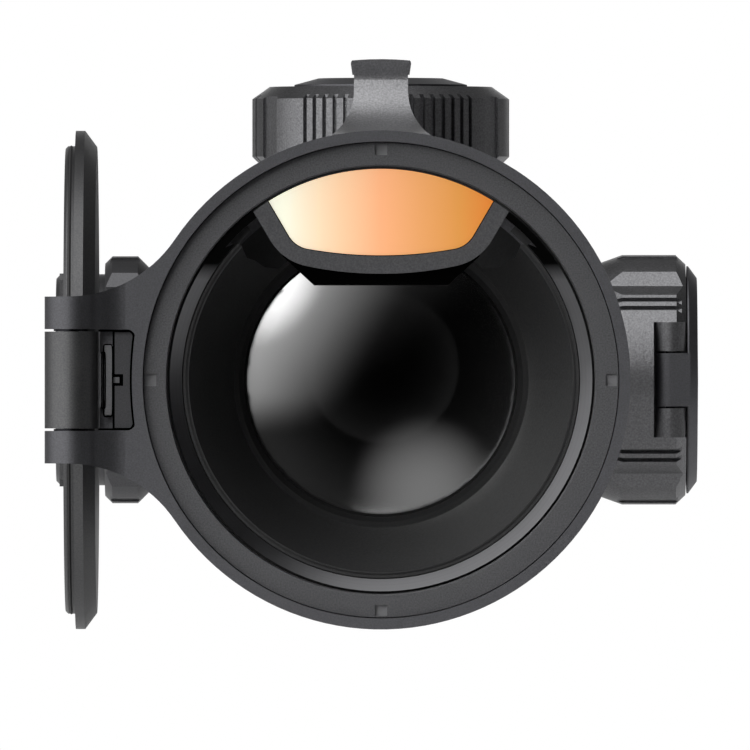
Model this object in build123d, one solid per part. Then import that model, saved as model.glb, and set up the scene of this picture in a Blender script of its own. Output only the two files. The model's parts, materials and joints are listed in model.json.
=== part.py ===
"""Tube-bodied thermal imaging camera with a rangefinder window in its objective hood.

Frame: Y is the optical axis with the objective facing -Y, Z is up, and the origin is the middle of
the front ring seat. All sizes are in millimetres. Each piece is one node, written to parts/NODE.step.
"""

from build123d import *
import math
import os

# ------------------------------------------------------------------ fits
fit_gap = 0.02        # static pieces that seat in each other
slide_gap = 0.08      # pieces that turn or slide in each other
seam_gap = 0.3        # open seam between a moving piece and its neighbour
standing = (Align.CENTER, Align.CENTER, Align.MIN)

# ------------------------------------------------------------------ lengths along the optical axis
bell_length = 112.0
front_seat_length = 54.0
saddle_length = 66.0
rear_seat_length = 62.0
eyepiece_length = 52.0
diopter_length = 14.0
eyecup_length = 40.0

front_y = -(front_seat_length / 2 + bell_length)   # rim plane of the objective
bell_end_y = -front_seat_length / 2
saddle_start = front_seat_length / 2
saddle_end = saddle_start + saddle_length
saddle_mid = (saddle_start + saddle_end) / 2
eyepiece_start = saddle_end + rear_seat_length
journal_start = eyepiece_start + eyepiece_length
eyecup_start = journal_start + diopter_length + 2 * seam_gap
journal_end = eyecup_start + 12.0
rear_y = eyecup_start + eyecup_length

# ------------------------------------------------------------------ main tube
tube_radius = 15.0
tube_wall = 2.2
socket_depth = 12.0       # how far the tube enters the bell and the eyepiece housing
socket_wall = 3.0
saddle_socket = 10.0      # how far the tubes enter the saddle
tube_bore = tube_radius - tube_wall
tube_front_y = bell_end_y - socket_depth
tube_rear_y = eyepiece_start + socket_depth

# ------------------------------------------------------- objective front, as depths behind the rim
bell_radius = 38.5
rim_wall = 1.7
rim_depth = 2.2
face_width = 3.7
face_thickness = 3.0
hinge_ring_depth = 16.0
flange_depth = 3.0
bell_wall = 1.3
rim_radius = bell_radius - rim_wall
face_radius = rim_radius - face_width
bore_radius = face_radius + 2.2           # bore of the bell tube, which the retaining ring screws into
bell_front = rim_depth + face_thickness + flange_depth
bell_tube_radius = bore_radius + bell_wall
tail_depth = bell_front + 6.0
spanner_slot = (1.9, 1.7, 1.0)            # across, along the radius, deep
spanner_radius = face_radius + 2.45

# ------------------------------------------------------------------ focusing ring and its lever
focus_ring_length = 30.0
focus_ring_step = 0.3                     # below the bell's outline
focus_ring_radius = bell_radius - focus_ring_step
focus_plain_band = 4.0
focus_rib_count = 60
focus_groove = (1.5, 0.9)                 # across, deep
focus_start = hinge_ring_depth + seam_gap
focus_end = focus_start + focus_ring_length
lever_height = 11.4                       # above the bell's outline
lever_top = bell_radius + lever_height
lever_tip_half = 4.8
lever_neck_half = 4.2
lever_neck_z = lever_top - 4.9
lever_tip_z = lever_top - 2.4
lever_flare = 8.85
lever_start = focus_start + 2.2
lever_end = focus_end - 2.0
focus_turn = 40.0                         # degrees each way
focus_lead = 10.8                         # travel of the lens cell in a full turn

# ------------------------------------------------------------------ bell behind the ring
shoulder_radius = focus_ring_radius
shoulder_length = 10.0
collar_length = 9.0
housing_wall = 2.4
taper_depth = focus_end + seam_gap + shoulder_length
sensor_layer = 2.0                        # thickness of the shutter, sensor and board stacked in the bell
sensor_end = bell_length - socket_depth - 7.4
sensor_start = sensor_end - 3.3 * sensor_layer
sensor_radius = 16.0
shutter_opening = 8.5
shutter_motor = (9.0, 5.0, 3.0)           # across, high, deep
grub_radius = 1.0
hood_end = 38.0
guide_flange = 2.0
seat_step = 1.8
guide_seat = hood_end + guide_flange

# ------------------------------------------------------------------ lens and its cell
lens_radius = 22.4
lens_clear = 21.35
front_lens_curve = 150.0
lens_curve = 60.0
lens_thickness = 7.0
lens_rim = 1.5
cell_radius = 25.6
cell_start = 39.4
guide_end = taper_depth + 0.375 * (bell_length - collar_length - taper_depth)
cell_length = guide_end - 5.6 - cell_start
bezel_thickness = 2.0
bezel_radius = 22.9
guide_wall = 1.7
rear_lens_radius = 15.0
rear_lens_thickness = 4.0
rear_seat_wall = 1.6
pin_radius = 1.5
groove_depth = 2.0
pin_inset = 2.3                           # focus drive pin in front of the focusing ring's rear edge
pin_depth = focus_end - pin_inset

# ------------------------------------------------------------------ hood
hood_mouth_radius = 30.7
hood_throat_radius = 23.0
hood_wall = 1.4
hood_foot_step = 5.0                      # from the bore to the foot's outside
hood_front = rim_depth + face_thickness
hood_lip = 0.4                            # flat lip inside the bevel ring
hood_groove = (0.3, 1.2)                  # across, deep, between the lip and the cone
bevel_start = 2.9
bevel_gap = 0.48                          # open groove between the bevel ring and the face ring
bevel_radius = face_radius - bevel_gap
hood_lip_radius = face_radius - slide_gap

# ------------------------------------------------------------------ rangefinder in the top of the hood
finder_front = rim_depth + 0.15
finder_frame_depth = 3.2
finder_end = 35.5
finder_rim = 2.7                          # frame width round the lower edge of the window
finder_floor_z = 14.7
finder_bottom_z = 16.4
finder_sag_curve = 56.0
finder_corner_x = 15.35
finder_side_slope = 59.7                  # degrees of the frame's slanted sides
finder_corner_round = 8.5
window_corner_round = 4.4
finder_skin = 1.2
finder_body_half = 17.2
finder_room_high = 14.0                   # clear height over the body, cut through the hood
window_thickness = 1.6
window_recess = 0.35
finder_top_radius = bevel_radius
finder_tubes = ((-6.6, 3.4, 18.0), (4.4, 5.0, 21.0))    # across, radius, length
bay_radius = bevel_radius - 1.07          # pockets cut in the bevel ring and the hood beside the frame
bay_rib = (0.55, 6.5, 9.5)                # across, from, to, of the rib left in each pocket

# ------------------------------------------------------------------ lens cap and its hinge
cap_radius = 38.9
cap_thickness = 4.0
cap_edge = 1.65
cap_bevel = 2.5
cap_dome = 0.5
cap_plug = 1.4
cap_seal_groove = (0.25, 0.8)             # from, to, behind the rim plane with the cap closed
cap_pad = (6.0, 2.0, 33.0)                # along, standing behind the rim plane, across
cap_plug_wall = 2.0
cap_seat_gap = 0.2
cap_pad_start = 16.5                      # from the hinge
hinge_offset = 9.3                        # hinge axis outside the bell
hinge_x = -(bell_radius + hinge_offset)
knuckle_radius = 4.1
knuckle_half = 7.47
hinge_half = 12.87
knuckle_gap = 0.38
hinge_pin_radius = 1.25
hinge_washer_radius = 2.7
wing_fillet = 20.0
web_fillet = 6.5
wing_depth = 9.0
window_depth = 2.6
detent_plate_thickness = 1.6

# ------------------------------------------------------------------ saddle and its turrets
barrel_flat = 21.0                        # half the barrel's width across its flats
barrel_corner = 22.2
barrel_cone = 9.0
barrel_round = 1.2
boss_radius = 18.6
boss_foot = 1.6
boss_top_z = 34.8
boss_side_x = 34.9

top_cap_radius = 20.8
top_cap_base = 35.1
top_cap_top = 47.4
top_cap_bevel = (2.8, 2.0)                # in along the radius, down the side
top_neck_radius = 17.4
top_cap_roof = 3.8
top_plate_radius = 14.0
top_plate_face = 10.1
top_plate_height = 1.4
top_thread_pitch = 1.5

side_cap_radius = 20.2
side_cap_base = 35.2
side_cap_bevel_end = 39.1
side_cap_top = 49.3
side_cap_shoulder = 47.7
side_cap_roof = 6.4
side_neck_radius = 16.9

lever_plate_radius = 18.4
lever_plate_face = 16.5
lever_plate_thickness = 1.9
lever_plate_gap = 0.2
pivot_in = 2.9                            # lever pivot below the cap's cylinder
pivot_down = 2.6                          # lever pivot below the cap's outer face
pivot_knuckle = 2.4
pivot_pin_radius = 0.8
lever_tongue_half = 4.3
lever_window_half = 9.3

knob_radius = 20.0
knob_inner_x = 37.4
knob_shoulder_x = 44.6
knob_cap_radius = 17.1
knob_outer_x = 52.5
knob_wall = 2.4
knob_web = 3.0
knob_travel = 0.8
shaft_radius = 3.0
encoder_radius = 9.0
encoder_floor = 11.5
encoder_height = 7.0
encoder_base = 0.8
encoder_across = 13.0
collar_start = encoder_floor + encoder_height + 1.8
collar_thickness = 3.6

grip_groove = (0.72, 0.9)                 # across, deep
grip_pitch = 5.0                          # degrees
grip_run = 8                              # grooves each side of a group's middle
finger_notch = 1.0

# ------------------------------------------------------------------ power
pack_radius = 12.4
pack_length = 39.0
pocket_radius = 12.8
pocket_floor_x = -8.5
contact_height = 5.2
cell_can_radius = 11.0
cell_can_length = 25.0
cell_pocket_floor = 14.6

# ------------------------------------------------------------------ eyepiece
eyepiece_radius = 22.0
eyepiece_cone = 10.0
eyepiece_wall = 2.6
journal_radius = 19.6
journal_wall = 2.5
diopter_radius = 22.6
diopter_rib_count = 40
diopter_turn = 60.0
diopter_lead = 9.0
eyecup_radius = 21.5
eyecup_sleeve = 18.0
eyecup_wall = 1.8
eyecup_mouth_radius = 20.6
ocular_radius = 15.0
ocular_cell_length = 26.0
ocular_seat = 4.5
ocular_edge = 3.0
diopter_pin_y = journal_start + seam_gap + diopter_length / 2
ocular_ends = (diopter_pin_y - ocular_cell_length / 2, diopter_pin_y + ocular_cell_length / 2)

switch_board_length = eyepiece_length - 25.0
button_pitch = (switch_board_length - 5.0) / 2
button_radius = 0.382 * button_pitch
button_gap = 0.15
deck_half_width = 7.2
deck_rise = 3.4
deck_length = eyepiece_length - 10.0
deck_top = eyepiece_radius + deck_rise

port_size = (9.0, 3.2, 7.0)
port_cover_size = (15.0, 19.0, 2.3)
port_board_length = 16.0
port_y = journal_start - 18.0
recess_floor = -eyepiece_radius + 2.0
cover_axis_z = recess_floor - 0.1 - port_cover_size[2] / 2
cover_axis_y = port_y - (port_cover_size[1] - port_cover_size[2]) / 2
cover_trunnion = (0.5, 1.3)               # radius, how far it stands out at each end
port_deck = (4.4, 5.0, 0.6)               # wider and longer than the cover, standing below the eyepiece

# ------------------------------------------------------------------ electronics
board_thickness = 1.6
board_end_gap = 11.0                      # of the display board, to the ends of its tube
chip_height = 1.8
main_chips = ((-3.0, -0.28, 13.0), (2.0, 0.04, 15.0), (-4.0, 0.34, 9.0))    # across, share of length, size
display_chips = ((0.0, -0.15, 12.0), (3.0, 0.25, 8.0))
sensor_package = (12.0, 10.0)
sensor_plug = (12.0, 4.0, 3.4)            # across, high, deep
display_gap = 3.0                         # behind the eyepiece's socket
display_panel = (20.0, 16.0)
display_view = (16.0, 12.0)


# ------------------------------------------------------------------ helpers
def turned(points, start=0.0):
    """Solid turned about the optical axis from (radius, distance) points, distances from start."""
    outline = Polyline(*[(r, start + y) for r, y in points], close=True)
    return revolve(make_face(outline), Axis.Y)


def spun(points):
    """Solid turned about Z from (radius, height) points."""
    outline = Polyline(*[(r, 0, h) for r, h in points], close=True)
    return revolve(make_face(outline), Axis.Z)


def tube_along_y(outer, inner, start, end):
    """Plain round tube on the optical axis."""
    return turned([(inner, start), (outer, start), (outer, end), (inner, end)])


def along_y(sketch, start, end):
    """Extrusion of an (x, z) sketch from y = start to y = end."""
    return Pos(0, end, 0) * extrude(Plane.XZ * sketch, end - start)


def along_x(sketch, start, end):
    """Extrusion of a (y, z) sketch from x = start to x = end."""
    return Pos(start, 0, 0) * extrude(Plane.YZ * sketch, end - start)


def onto_y(shape):
    """Turns a shape built about Z so that its axis is the optical axis; local Y becomes -Z."""
    return Rot(-90, 0, 0) * shape


def facing_right(shape):
    """Puts a turret built about Z on the saddle's +X side; local -Y stays facing the objective."""
    return Pos(0, saddle_mid, 0) * Rot(0, 90, 0) * shape


def facing_left(shape):
    """Puts a turret built about Z on the saddle's -X side."""
    return Pos(0, saddle_mid, 0) * Rot(0, -90, 0) * shape


def facing_up(shape):
    """Puts a turret built about Z on top of the saddle."""
    return Pos(0, saddle_mid, 0) * shape


def polar(radius, degrees):
    """Point at an angle in a sketch."""
    return (radius * math.cos(math.radians(degrees)), radius * math.sin(math.radians(degrees)))


def grooves(radius, size, angles):
    """Sketch of the square grooves, size (across, deep), cut into a round edge at the given angles."""
    across, deep = size
    return Sketch() + [Rot(0, 0, a) * Pos(radius, 0) * Rectangle(2 * deep, across) for a in angles]


def finger_recess(radius, first, last, deep):
    """Sketch of a V recess for a fingertip between two angles of a round edge."""
    middle = first + (last - first) * 0.55
    points = [polar(radius, first), polar(radius - deep, middle), polar(radius, last)]
    return make_face(Polyline(*points, polar(radius * 1.1, middle), close=True))


def grip_angles(front):
    """Angles of the fine grooves: three groups, the first in the middle of front degrees."""
    run = range(-grip_run, grip_run + 1)
    return [front + 120 * group + grip_pitch * k for group in range(3) for k in run]


def side_grip(radius):
    """(x, y) outline of the battery cap and the control knob: paired grooves and finger recesses."""
    outline = Circle(radius)
    for face in (270, 90):
        pairs = [face + sign * angle for sign in (1, -1) for angle in (35.0, 39.8)]
        outline -= grooves(radius, (0.85, 0.8), pairs)
        outline -= finger_recess(radius, face + 42.7, face + 59.7, finger_notch)
        outline -= finger_recess(radius, face - 42.7, face - 59.7, finger_notch)
        outline -= grooves(radius, (3.2, 0.35), [face + 76, face - 76])
    return outline


def helical_slot(radius, lead, half_turn, width, depth, middle):
    """Cutter for a helical groove round the optical axis, centred at the bottom at y = middle."""
    height = lead * 2 * half_turn / 360
    path = Helix(pitch=lead, height=height, radius=radius)
    start = Plane(origin=path @ 0, x_dir=(1, 0, 0), z_dir=path % 0)
    groove = sweep(start * Rectangle(2 * depth, width), path=path, is_frenet=True)
    centred = Pos(0, 0, middle - height / 2) * Rot(0, 0, 90 - half_turn) * groove
    return onto_y(centred)


def drive_slot(inner, outer, half_turn, width, middle):
    """Cutter for a slot round the bottom of a tube wall, for a drive pin that swings half_turn each way."""
    ring = spun([(inner, -width / 2), (outer, -width / 2), (outer, width / 2), (inner, width / 2)])
    reach = 2 * outer
    corners = [polar(reach, 90 - half_turn), polar(reach, 90), polar(reach, 90 + half_turn)]
    wedge = extrude(make_face(Polyline((0, 0), *corners, close=True)), width, both=True)
    return Pos(0, middle, 0) * onto_y(ring & wedge)


def drive_pin(inner, outer, middle):
    """Radial pin at the bottom of the optical axis."""
    return Pos(0, middle, -(inner + outer) / 2) * Cylinder(pin_radius, outer - inner)


def lens(radius, front_curve, back_curve, thickness, edge_start):
    """Lens on the optical axis, bulging both ways, with a flat ground rim on each side."""
    clear = radius - lens_rim
    edge_end = edge_start + thickness
    front = Pos(0, edge_start + math.sqrt(front_curve**2 - clear**2), 0) * Sphere(front_curve)
    back = Pos(0, edge_end - math.sqrt(back_curve**2 - clear**2), 0) * Sphere(back_curve)
    core = tube_along_y(clear, 0, edge_start - radius, edge_end + radius)
    return tube_along_y(radius, 0, edge_start, edge_end) + (core & front & back)


def ring_groove(inner, outer, height, across):
    """Ring cutter about Z for a seal groove."""
    low, high = height - across / 2, height + across / 2
    return spun([(inner, low), (outer, low), (outer, high), (inner, high)])


# ------------------------------------------------------------------ objective front
def wing_outline(half):
    """(x, z) outline of the hinge wing: a bar of the given half height blended into the ring."""
    centre_z = half + wing_fillet
    centre_x = -math.sqrt((bell_radius + wing_fillet) ** 2 - centre_z**2)
    touch = bell_radius / (bell_radius + wing_fillet)
    left = hinge_x - knuckle_radius
    outline = Pos((left + centre_x) / 2 + 0.01, 0) * Rectangle(centre_x - left + 0.02, 2 * half)
    blend_x = touch * centre_x
    outline += Pos((centre_x + blend_x) / 2, 0) * Rectangle(blend_x - centre_x, 2 * touch * centre_z)
    outline += Circle(bell_radius)
    for side in (1, -1):
        outline -= Pos(centre_x, side * centre_z) * Circle(wing_fillet)
    return outline


def fork_profile():
    """(x, y) section through the hinge fork: a round knuckle faired into the ring's front plane."""
    fair_x = hinge_x + math.sqrt((web_fillet + knuckle_radius) ** 2 - web_fillet**2)
    share = knuckle_radius / (web_fillet + knuckle_radius)
    touch = (hinge_x + share * (fair_x - hinge_x), front_y - share * web_fillet)
    behind = front_y + knuckle_radius
    web = [touch, (fair_x, front_y - web_fillet), (fair_x, behind), (hinge_x, behind)]
    profile = make_face(Polyline(*web, (hinge_x, front_y), close=True))
    profile -= Pos(fair_x, front_y - web_fillet) * Circle(web_fillet)
    block_left = hinge_x + knuckle_radius + 0.8
    block = Rectangle(0 - block_left, wing_depth, align=(Align.MIN, Align.MIN))
    profile += Pos(block_left, front_y) * block
    return profile + Pos(hinge_x, front_y) * Circle(knuckle_radius)


def detent_pocket(clearance, depth):
    """Cutter for the pocket beside the knuckle, its inner edge following the ring's outline."""
    half = knuckle_half - clearance
    left = hinge_x + knuckle_radius + seam_gap
    reach = bell_radius + 0.1 + clearance
    sketch = Pos(left, 0) * Rectangle(bell_radius, 2 * half, align=(Align.MIN, Align.CENTER))
    sketch -= Circle(reach)
    sketch &= Pos(left, 0) * Rectangle(-left - bell_radius / 2, 2 * half, align=(Align.MIN, Align.CENTER))
    sketch = fillet([v for v in sketch.vertices() if v.X > left + 1], 0.6)
    return along_y(sketch, front_y - 0.5, front_y + depth)


def hinge_ring():
    """Front ring with the raised rim, the wing and the two arms of the hinge fork."""
    ring = tube_along_y(bell_radius, rim_radius - 8, front_y, front_y + hinge_ring_depth)
    arms = extrude(fork_profile(), hinge_half * 2, both=True)
    outline = wing_outline(hinge_half)
    ring += arms & along_y(outline, front_y - 2 * knuckle_radius, front_y + hinge_ring_depth)
    seat = rim_depth + face_thickness
    before, beyond = -2 * knuckle_radius, 2 * hinge_ring_depth
    bores = [(0, before), (rim_radius, before), (rim_radius, seat), (bore_radius, seat)]
    bores += [(bore_radius, bell_front), (bell_tube_radius + fit_gap, bell_front)]
    ring -= turned([*bores, (bell_tube_radius + fit_gap, beyond), (0, beyond)], front_y)
    gap_right = hinge_x + knuckle_radius + seam_gap
    gap_high = 2 * (knuckle_half + knuckle_gap)
    reach = 2 * bell_radius
    gap = Box(reach, reach, gap_high, align=(Align.MAX, Align.CENTER, Align.CENTER))
    ring -= Pos(gap_right, front_y, 0) * gap
    ring -= Pos(0, front_y, 0) * Box(reach, reach, gap_high, align=(Align.MAX, Align.MAX, Align.CENTER))
    ring -= detent_pocket(0, window_depth)
    bottom = Pos(hinge_x, front_y, -hinge_half - 1)
    return ring - bottom * Cylinder(hinge_pin_radius + fit_gap, 2 * hinge_half, align=standing)


def hinge_pin():
    """Pin through the fork and the cap's knuckle, put in from below."""
    bottom = Pos(hinge_x, front_y, -hinge_half + 0.3)
    return bottom * Cylinder(hinge_pin_radius, 2 * hinge_half - 1.4, align=standing)


def hinge_washers():
    """Two thrust washers in the gaps of the fork."""
    thickness = knuckle_gap - 0.08
    flat = Cylinder(hinge_washer_radius, thickness) - Cylinder(hinge_pin_radius + fit_gap, thickness)
    height = knuckle_half + knuckle_gap - thickness / 2
    return Part() + [Pos(hinge_x, front_y, side * height) * flat for side in (1, -1)]


def detent_plate():
    """Cover plate in the hinge pocket with a notch for the spring's tongue."""
    left = hinge_x + knuckle_radius + 2.6
    back = front_y + window_depth
    plate = detent_pocket(0.08, window_depth)
    keep = Box(20, detent_plate_thickness, 2 * knuckle_half, align=(Align.MIN, Align.MAX, Align.CENTER))
    notch = Box(1.3, 4, 1.8, align=(Align.MIN, Align.CENTER, Align.CENTER))
    return (plate & Pos(left, back, 0) * keep) - Pos(left, back, 0) * notch


def detent_spring():
    """Leaf spring beside the knuckle: a flat back with a tongue, and a rounded bar on the knuckle's side."""
    left = hinge_x + knuckle_radius + 1.1
    back = front_y + window_depth
    half = 0.72 * knuckle_half
    leaf = Pos(left, back, 0) * Box(1.2, 2.0, 2 * half, align=(Align.MIN, Align.MAX, Align.CENTER))
    tongue = Pos(left + 1.2, back, 0) * Box(1.0, 1.2, 0.9, align=(Align.MIN, Align.MAX, Align.CENTER))
    bridge = Box(0.5, 0.8, 1.2 * half, align=(Align.MAX, Align.CENTER, Align.CENTER))
    bar = Pos(left - 0.35, back - 1.0, 0) * Cylinder(0.3, 1.56 * half)
    return leaf + tongue + bar + Pos(left, back - 1.0, 0) * bridge


def retaining_ring():
    """Flat face ring that screws into the bell and clamps the hinge ring, with four spanner slots."""
    face = rim_depth
    seat = face + face_thickness
    edge = 0.15
    outline = [(face_radius, face + edge), (face_radius + edge, face), (rim_radius - fit_gap - edge, face)]
    outline += [(rim_radius - fit_gap, face + edge), (rim_radius - fit_gap, seat)]
    tail_radius = bore_radius - fit_gap
    outline += [(tail_radius, seat), (tail_radius, tail_depth), (face_radius, tail_depth)]
    ring = turned(outline, front_y)
    across, along, deep = spanner_slot
    slot = Pos(0, front_y + face + deep / 2, spanner_radius) * Box(across, deep, along)
    return ring - [Rot(0, 90 * k, 0) * slot for k in range(4)]


def finder_outline(inset, corner, top_radius):
    """(x, z) outline of the rangefinder's face: an arc on top, slanted sides and a shallow arc below."""
    slope = math.radians(finder_side_slope)
    centre_z = finder_bottom_z + finder_sag_curve
    curve = finder_sag_curve - inset
    side_x = finder_corner_x - inset / math.sin(slope)
    base_z = centre_z - math.sqrt(finder_sag_curve**2 - finder_corner_x**2)
    foot_z = centre_z - math.sqrt(curve**2 - side_x**2)
    foot_x = side_x + (foot_z - base_z) / math.tan(slope)
    head_z = top_radius + 2
    head_x = foot_x + (head_z - foot_z) / math.tan(slope)
    bottom = ThreePointArc((-foot_x, foot_z), (0, centre_z - curve), (foot_x, foot_z))
    sides = Polyline((foot_x, foot_z), (head_x, head_z), (-head_x, head_z), (-foot_x, foot_z))
    sketch = make_face(Wire([bottom, *sides.edges()]))
    sketch = fillet([v for v in sketch.vertices() if v.Y < finder_bottom_z + 8], corner)
    return sketch & Circle(top_radius)


def finder_body_outline(inset):
    """(x, z) outline of the rangefinder's body behind its frame, with a flat floor."""
    floor = finder_floor_z + inset
    half = 10.4 - inset * 0.4
    wide = 15.2 - inset
    wide_z = finder_floor_z + 4.4
    high = finder_body_half - inset
    top = finder_top_radius + 2
    points = [(-half, floor), (half, floor), (wide, wide_z), (high, top), (-high, top), (-wide, wide_z)]
    return make_face(Polyline(*points, close=True)) & Circle(finder_top_radius - inset)


def finder_bay():
    """(x, z) outline of the pockets left open on both sides of the rangefinder."""
    foot, shelf, side, lip = (18.05, 17.5), (20.8, 18.9), (21.7, 20.95), (22.9, 20.95)
    tip = polar(bay_radius + 0.1, 40.0)
    inside = finder_corner_x - 3
    beyond = [(tip[0] + 2, tip[1] + 4), (inside, finder_top_radius), (inside, finder_bottom_z + 0.6)]
    half = make_face(Polyline(foot, (19.6, 18.55), shelf, side, lip, tip, *beyond, close=True))
    return (half + mirror(half, Plane.YZ)) & Circle(bay_radius)


def finder_envelope():
    """Room that the hood and the bevel ring leave for the rangefinder, which rests on the hood's foot."""
    frame = finder_outline(-slide_gap, finder_corner_round + slide_gap, finder_top_radius + 3)
    body = offset(finder_body_outline(0), slide_gap)
    body += Pos(0, finder_top_radius - 4) * Rectangle(2 * finder_body_half, finder_room_high)
    step = front_y + finder_front + finder_frame_depth + slide_gap
    back = front_y + finder_end
    room = along_y(frame, front_y, step) + along_y(body, front_y, back)
    across, start, end = bay_rib
    inner = bay_radius - 2 * across
    rib = [(inner, start), (inner + across, start), (inner + across, end - 1), (bay_radius + 1, end - 1)]
    rib = turned([*rib, (bay_radius + 1, end), (inner, end)], front_y)
    return room + (along_y(finder_bay(), front_y, back) - (rib & along_y(bay_rib_sectors(), front_y, back)))


def bay_rib_sectors():
    """(x, z) sectors in which the ribs of the two pockets lie."""
    ends = [polar(2 * bay_radius, 49.0), polar(2 * bay_radius, 42.5)]
    half = make_face(Polyline((0, 0), *ends, close=True))
    return half + mirror(half, Plane.YZ)


def rangefinder_housing():
    """Moulded housing with the window frame in front and a box for the optics behind."""
    front = front_y + finder_front
    step = front + finder_frame_depth
    back = front_y + finder_end
    ledge = front + window_recess + window_thickness
    frame = along_y(finder_outline(0, finder_corner_round, finder_top_radius), front, step)
    body = along_y(finder_body_outline(0), step, back)
    room = along_y(finder_body_outline(finder_skin), step + finder_skin, back - finder_skin)
    throat_outline = finder_outline(finder_rim + 0.9, window_corner_round - 0.9, finder_top_radius - 1.2)
    throat = along_y(throat_outline, ledge - 0.1, step + finder_skin + 0.1)
    window_outline = finder_outline(finder_rim, window_corner_round, finder_top_radius + 1)
    return frame + body - room - throat - along_y(window_outline, front - 1, ledge)


def rangefinder_window():
    """Coated window in the frame."""
    front = front_y + finder_front + window_recess
    outline = finder_outline(finder_rim + 0.15, window_corner_round - 0.15, finder_top_radius - 0.02)
    return along_y(outline, front, front + window_thickness)


def rangefinder_module():
    """Transmitter and receiver lens tubes in one bulkhead behind the window, and a board at the back."""
    front = front_y + finder_front + finder_frame_depth + finder_skin
    back = front_y + finder_end - finder_skin
    outline = finder_body_outline(finder_skin + fit_gap)
    middle = (3 * front + back) / 4
    plate = along_y(outline, middle - 1, middle + 1)
    glasses = [along_y(outline, back - 1.2, back)]
    for x, radius, length in finder_tubes:
        place = Pos(x, 0, finder_floor_z + finder_skin + radius + 0.6)
        plate += place * tube_along_y(radius, 0, front + 0.4, front + length)
        plate -= place * tube_along_y(radius - 0.7, 0, front, front + length + 1)
        glasses.append(place * tube_along_y(radius - 0.7, 0, front + 1.4, front + 3.4))
    return plate + glasses


def hood():
    """Conical hood between the face ring and the lens, with a lip and a fine groove round its mouth."""
    lip = hood_mouth_radius - 0.1
    groove = lip - hood_lip
    across, deep = hood_groove
    inner = [(hood_mouth_radius + 0.08, hood_front), (hood_mouth_radius, hood_front + 0.3), (lip, hood_front)]
    inner += [(groove, hood_front), (groove, hood_front + deep), (groove - across, hood_front + deep)]
    inner += [(groove - across, hood_front + 0.3), (groove - across - 0.2, hood_front + 0.3)]
    inner += [(hood_throat_radius, hood_end)]
    foot = [(bore_radius - hood_foot_step, hood_end), (bore_radius - hood_foot_step, finder_end)]
    foot += [(hood_throat_radius + hood_wall + 0.6, finder_end)]
    flange_back = tail_depth + 2.0
    flange_radius = bore_radius - fit_gap
    flange = [(hood_mouth_radius, flange_back), (flange_radius, flange_back), (flange_radius, tail_depth)]
    flange += [(hood_lip_radius, tail_depth), (hood_lip_radius, hood_front)]
    return turned([*inner, *foot, *flange], front_y) - finder_envelope()


def bevel_ring():
    """Polished bevelled ring that closes the front of the hood."""
    inner = hood_mouth_radius + 0.08
    outline = [(bevel_radius, bevel_start), (inner, hood_front - 0.5), (inner, hood_front)]
    return turned([*outline, (bevel_radius, hood_front)], front_y) - finder_envelope()


# ------------------------------------------------------------------ lens, cell and focusing
def front_lens():
    """Front element of the infrared lens."""
    edge = front_y + cell_start + bezel_thickness
    return lens(lens_radius, front_lens_curve, 3 * lens_curve, lens_thickness, edge)


def rear_lens():
    """Rear element, seated in the back of the cell."""
    edge = front_y + cell_start + cell_length - rear_seat_wall - rear_lens_thickness
    return lens(rear_lens_radius, lens_curve, lens_curve, rear_lens_thickness, edge)


def lens_bezel():
    """Threaded ring that holds the front element."""
    back = cell_start + bezel_thickness
    outline = [(lens_clear, cell_start + 0.8), (lens_clear + 0.8, cell_start), (bezel_radius, cell_start)]
    return turned([*outline, (bezel_radius, back), (lens_clear, back)], front_y)


def lens_cell():
    """Sliding cell that carries both elements, with the helical groove that the focus pin drives."""
    back = cell_start + cell_length
    seat = cell_start + bezel_thickness
    pocket = seat + lens_thickness
    rear_back = back - rear_seat_wall
    rear_front = rear_back - rear_lens_thickness
    outline = [(bezel_radius + fit_gap, cell_start), (cell_radius, cell_start), (cell_radius, back)]
    outline += [(rear_lens_radius - 1, back), (rear_lens_radius - 1, rear_back)]
    outline += [(rear_lens_radius + fit_gap, rear_back), (rear_lens_radius + fit_gap, rear_front - 1)]
    outline += [(lens_clear, rear_front - 6), (lens_clear, pocket)]
    outline += [(lens_radius + fit_gap, pocket), (lens_radius + fit_gap, seat)]
    outline += [(bezel_radius + fit_gap, seat)]
    width = 2 * (pin_radius + 0.15)
    groove = helical_slot(cell_radius, focus_lead, focus_turn + 6, width, groove_depth, front_y + pin_depth)
    return turned(outline, front_y) - groove


def lens_guide():
    """Fixed sleeve that the lens cell slides in, flanged against the bell's seat."""
    bore = cell_radius + slide_gap
    outer = bore + guide_wall
    outline = [(bore, hood_end), (bore_radius - fit_gap, hood_end), (bore_radius - fit_gap, guide_seat)]
    outline += [(outer, guide_seat), (outer, guide_end), (bore, guide_end)]
    sleeve = turned(outline, front_y)
    width = 2 * (pin_radius + 0.25)
    return sleeve - drive_slot(bore - 1, outer + 1, focus_turn + 6, width, front_y + pin_depth)


def focus_ring():
    """Focusing ring with straight ribs and a raised thumb lever on top."""
    bore = bell_tube_radius + slide_gap
    start, end = front_y + focus_start, front_y + focus_end
    outer = focus_ring_radius
    edge = 0.5
    bands = Part()
    for near, far, toward in ((start, start + focus_plain_band, 1), (end, end - focus_plain_band, -1)):
        outline = [(bore, near), (outer - edge, near), (outer, near + toward * edge), (outer, far)]
        bands += turned([*outline, (bore, far)])
    angles = [360 * k / focus_rib_count for k in range(focus_rib_count)]
    ribs = Circle(outer) - grooves(outer, focus_groove, angles) - Circle(bore)
    grip = along_y(ribs, start + focus_plain_band, end - focus_plain_band)
    ring = bands + grip + focus_lever(bore)
    pin_hole = drive_pin(bore - 1, focus_ring_radius - 0.3, front_y + pin_depth)
    return ring - pin_hole


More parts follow.
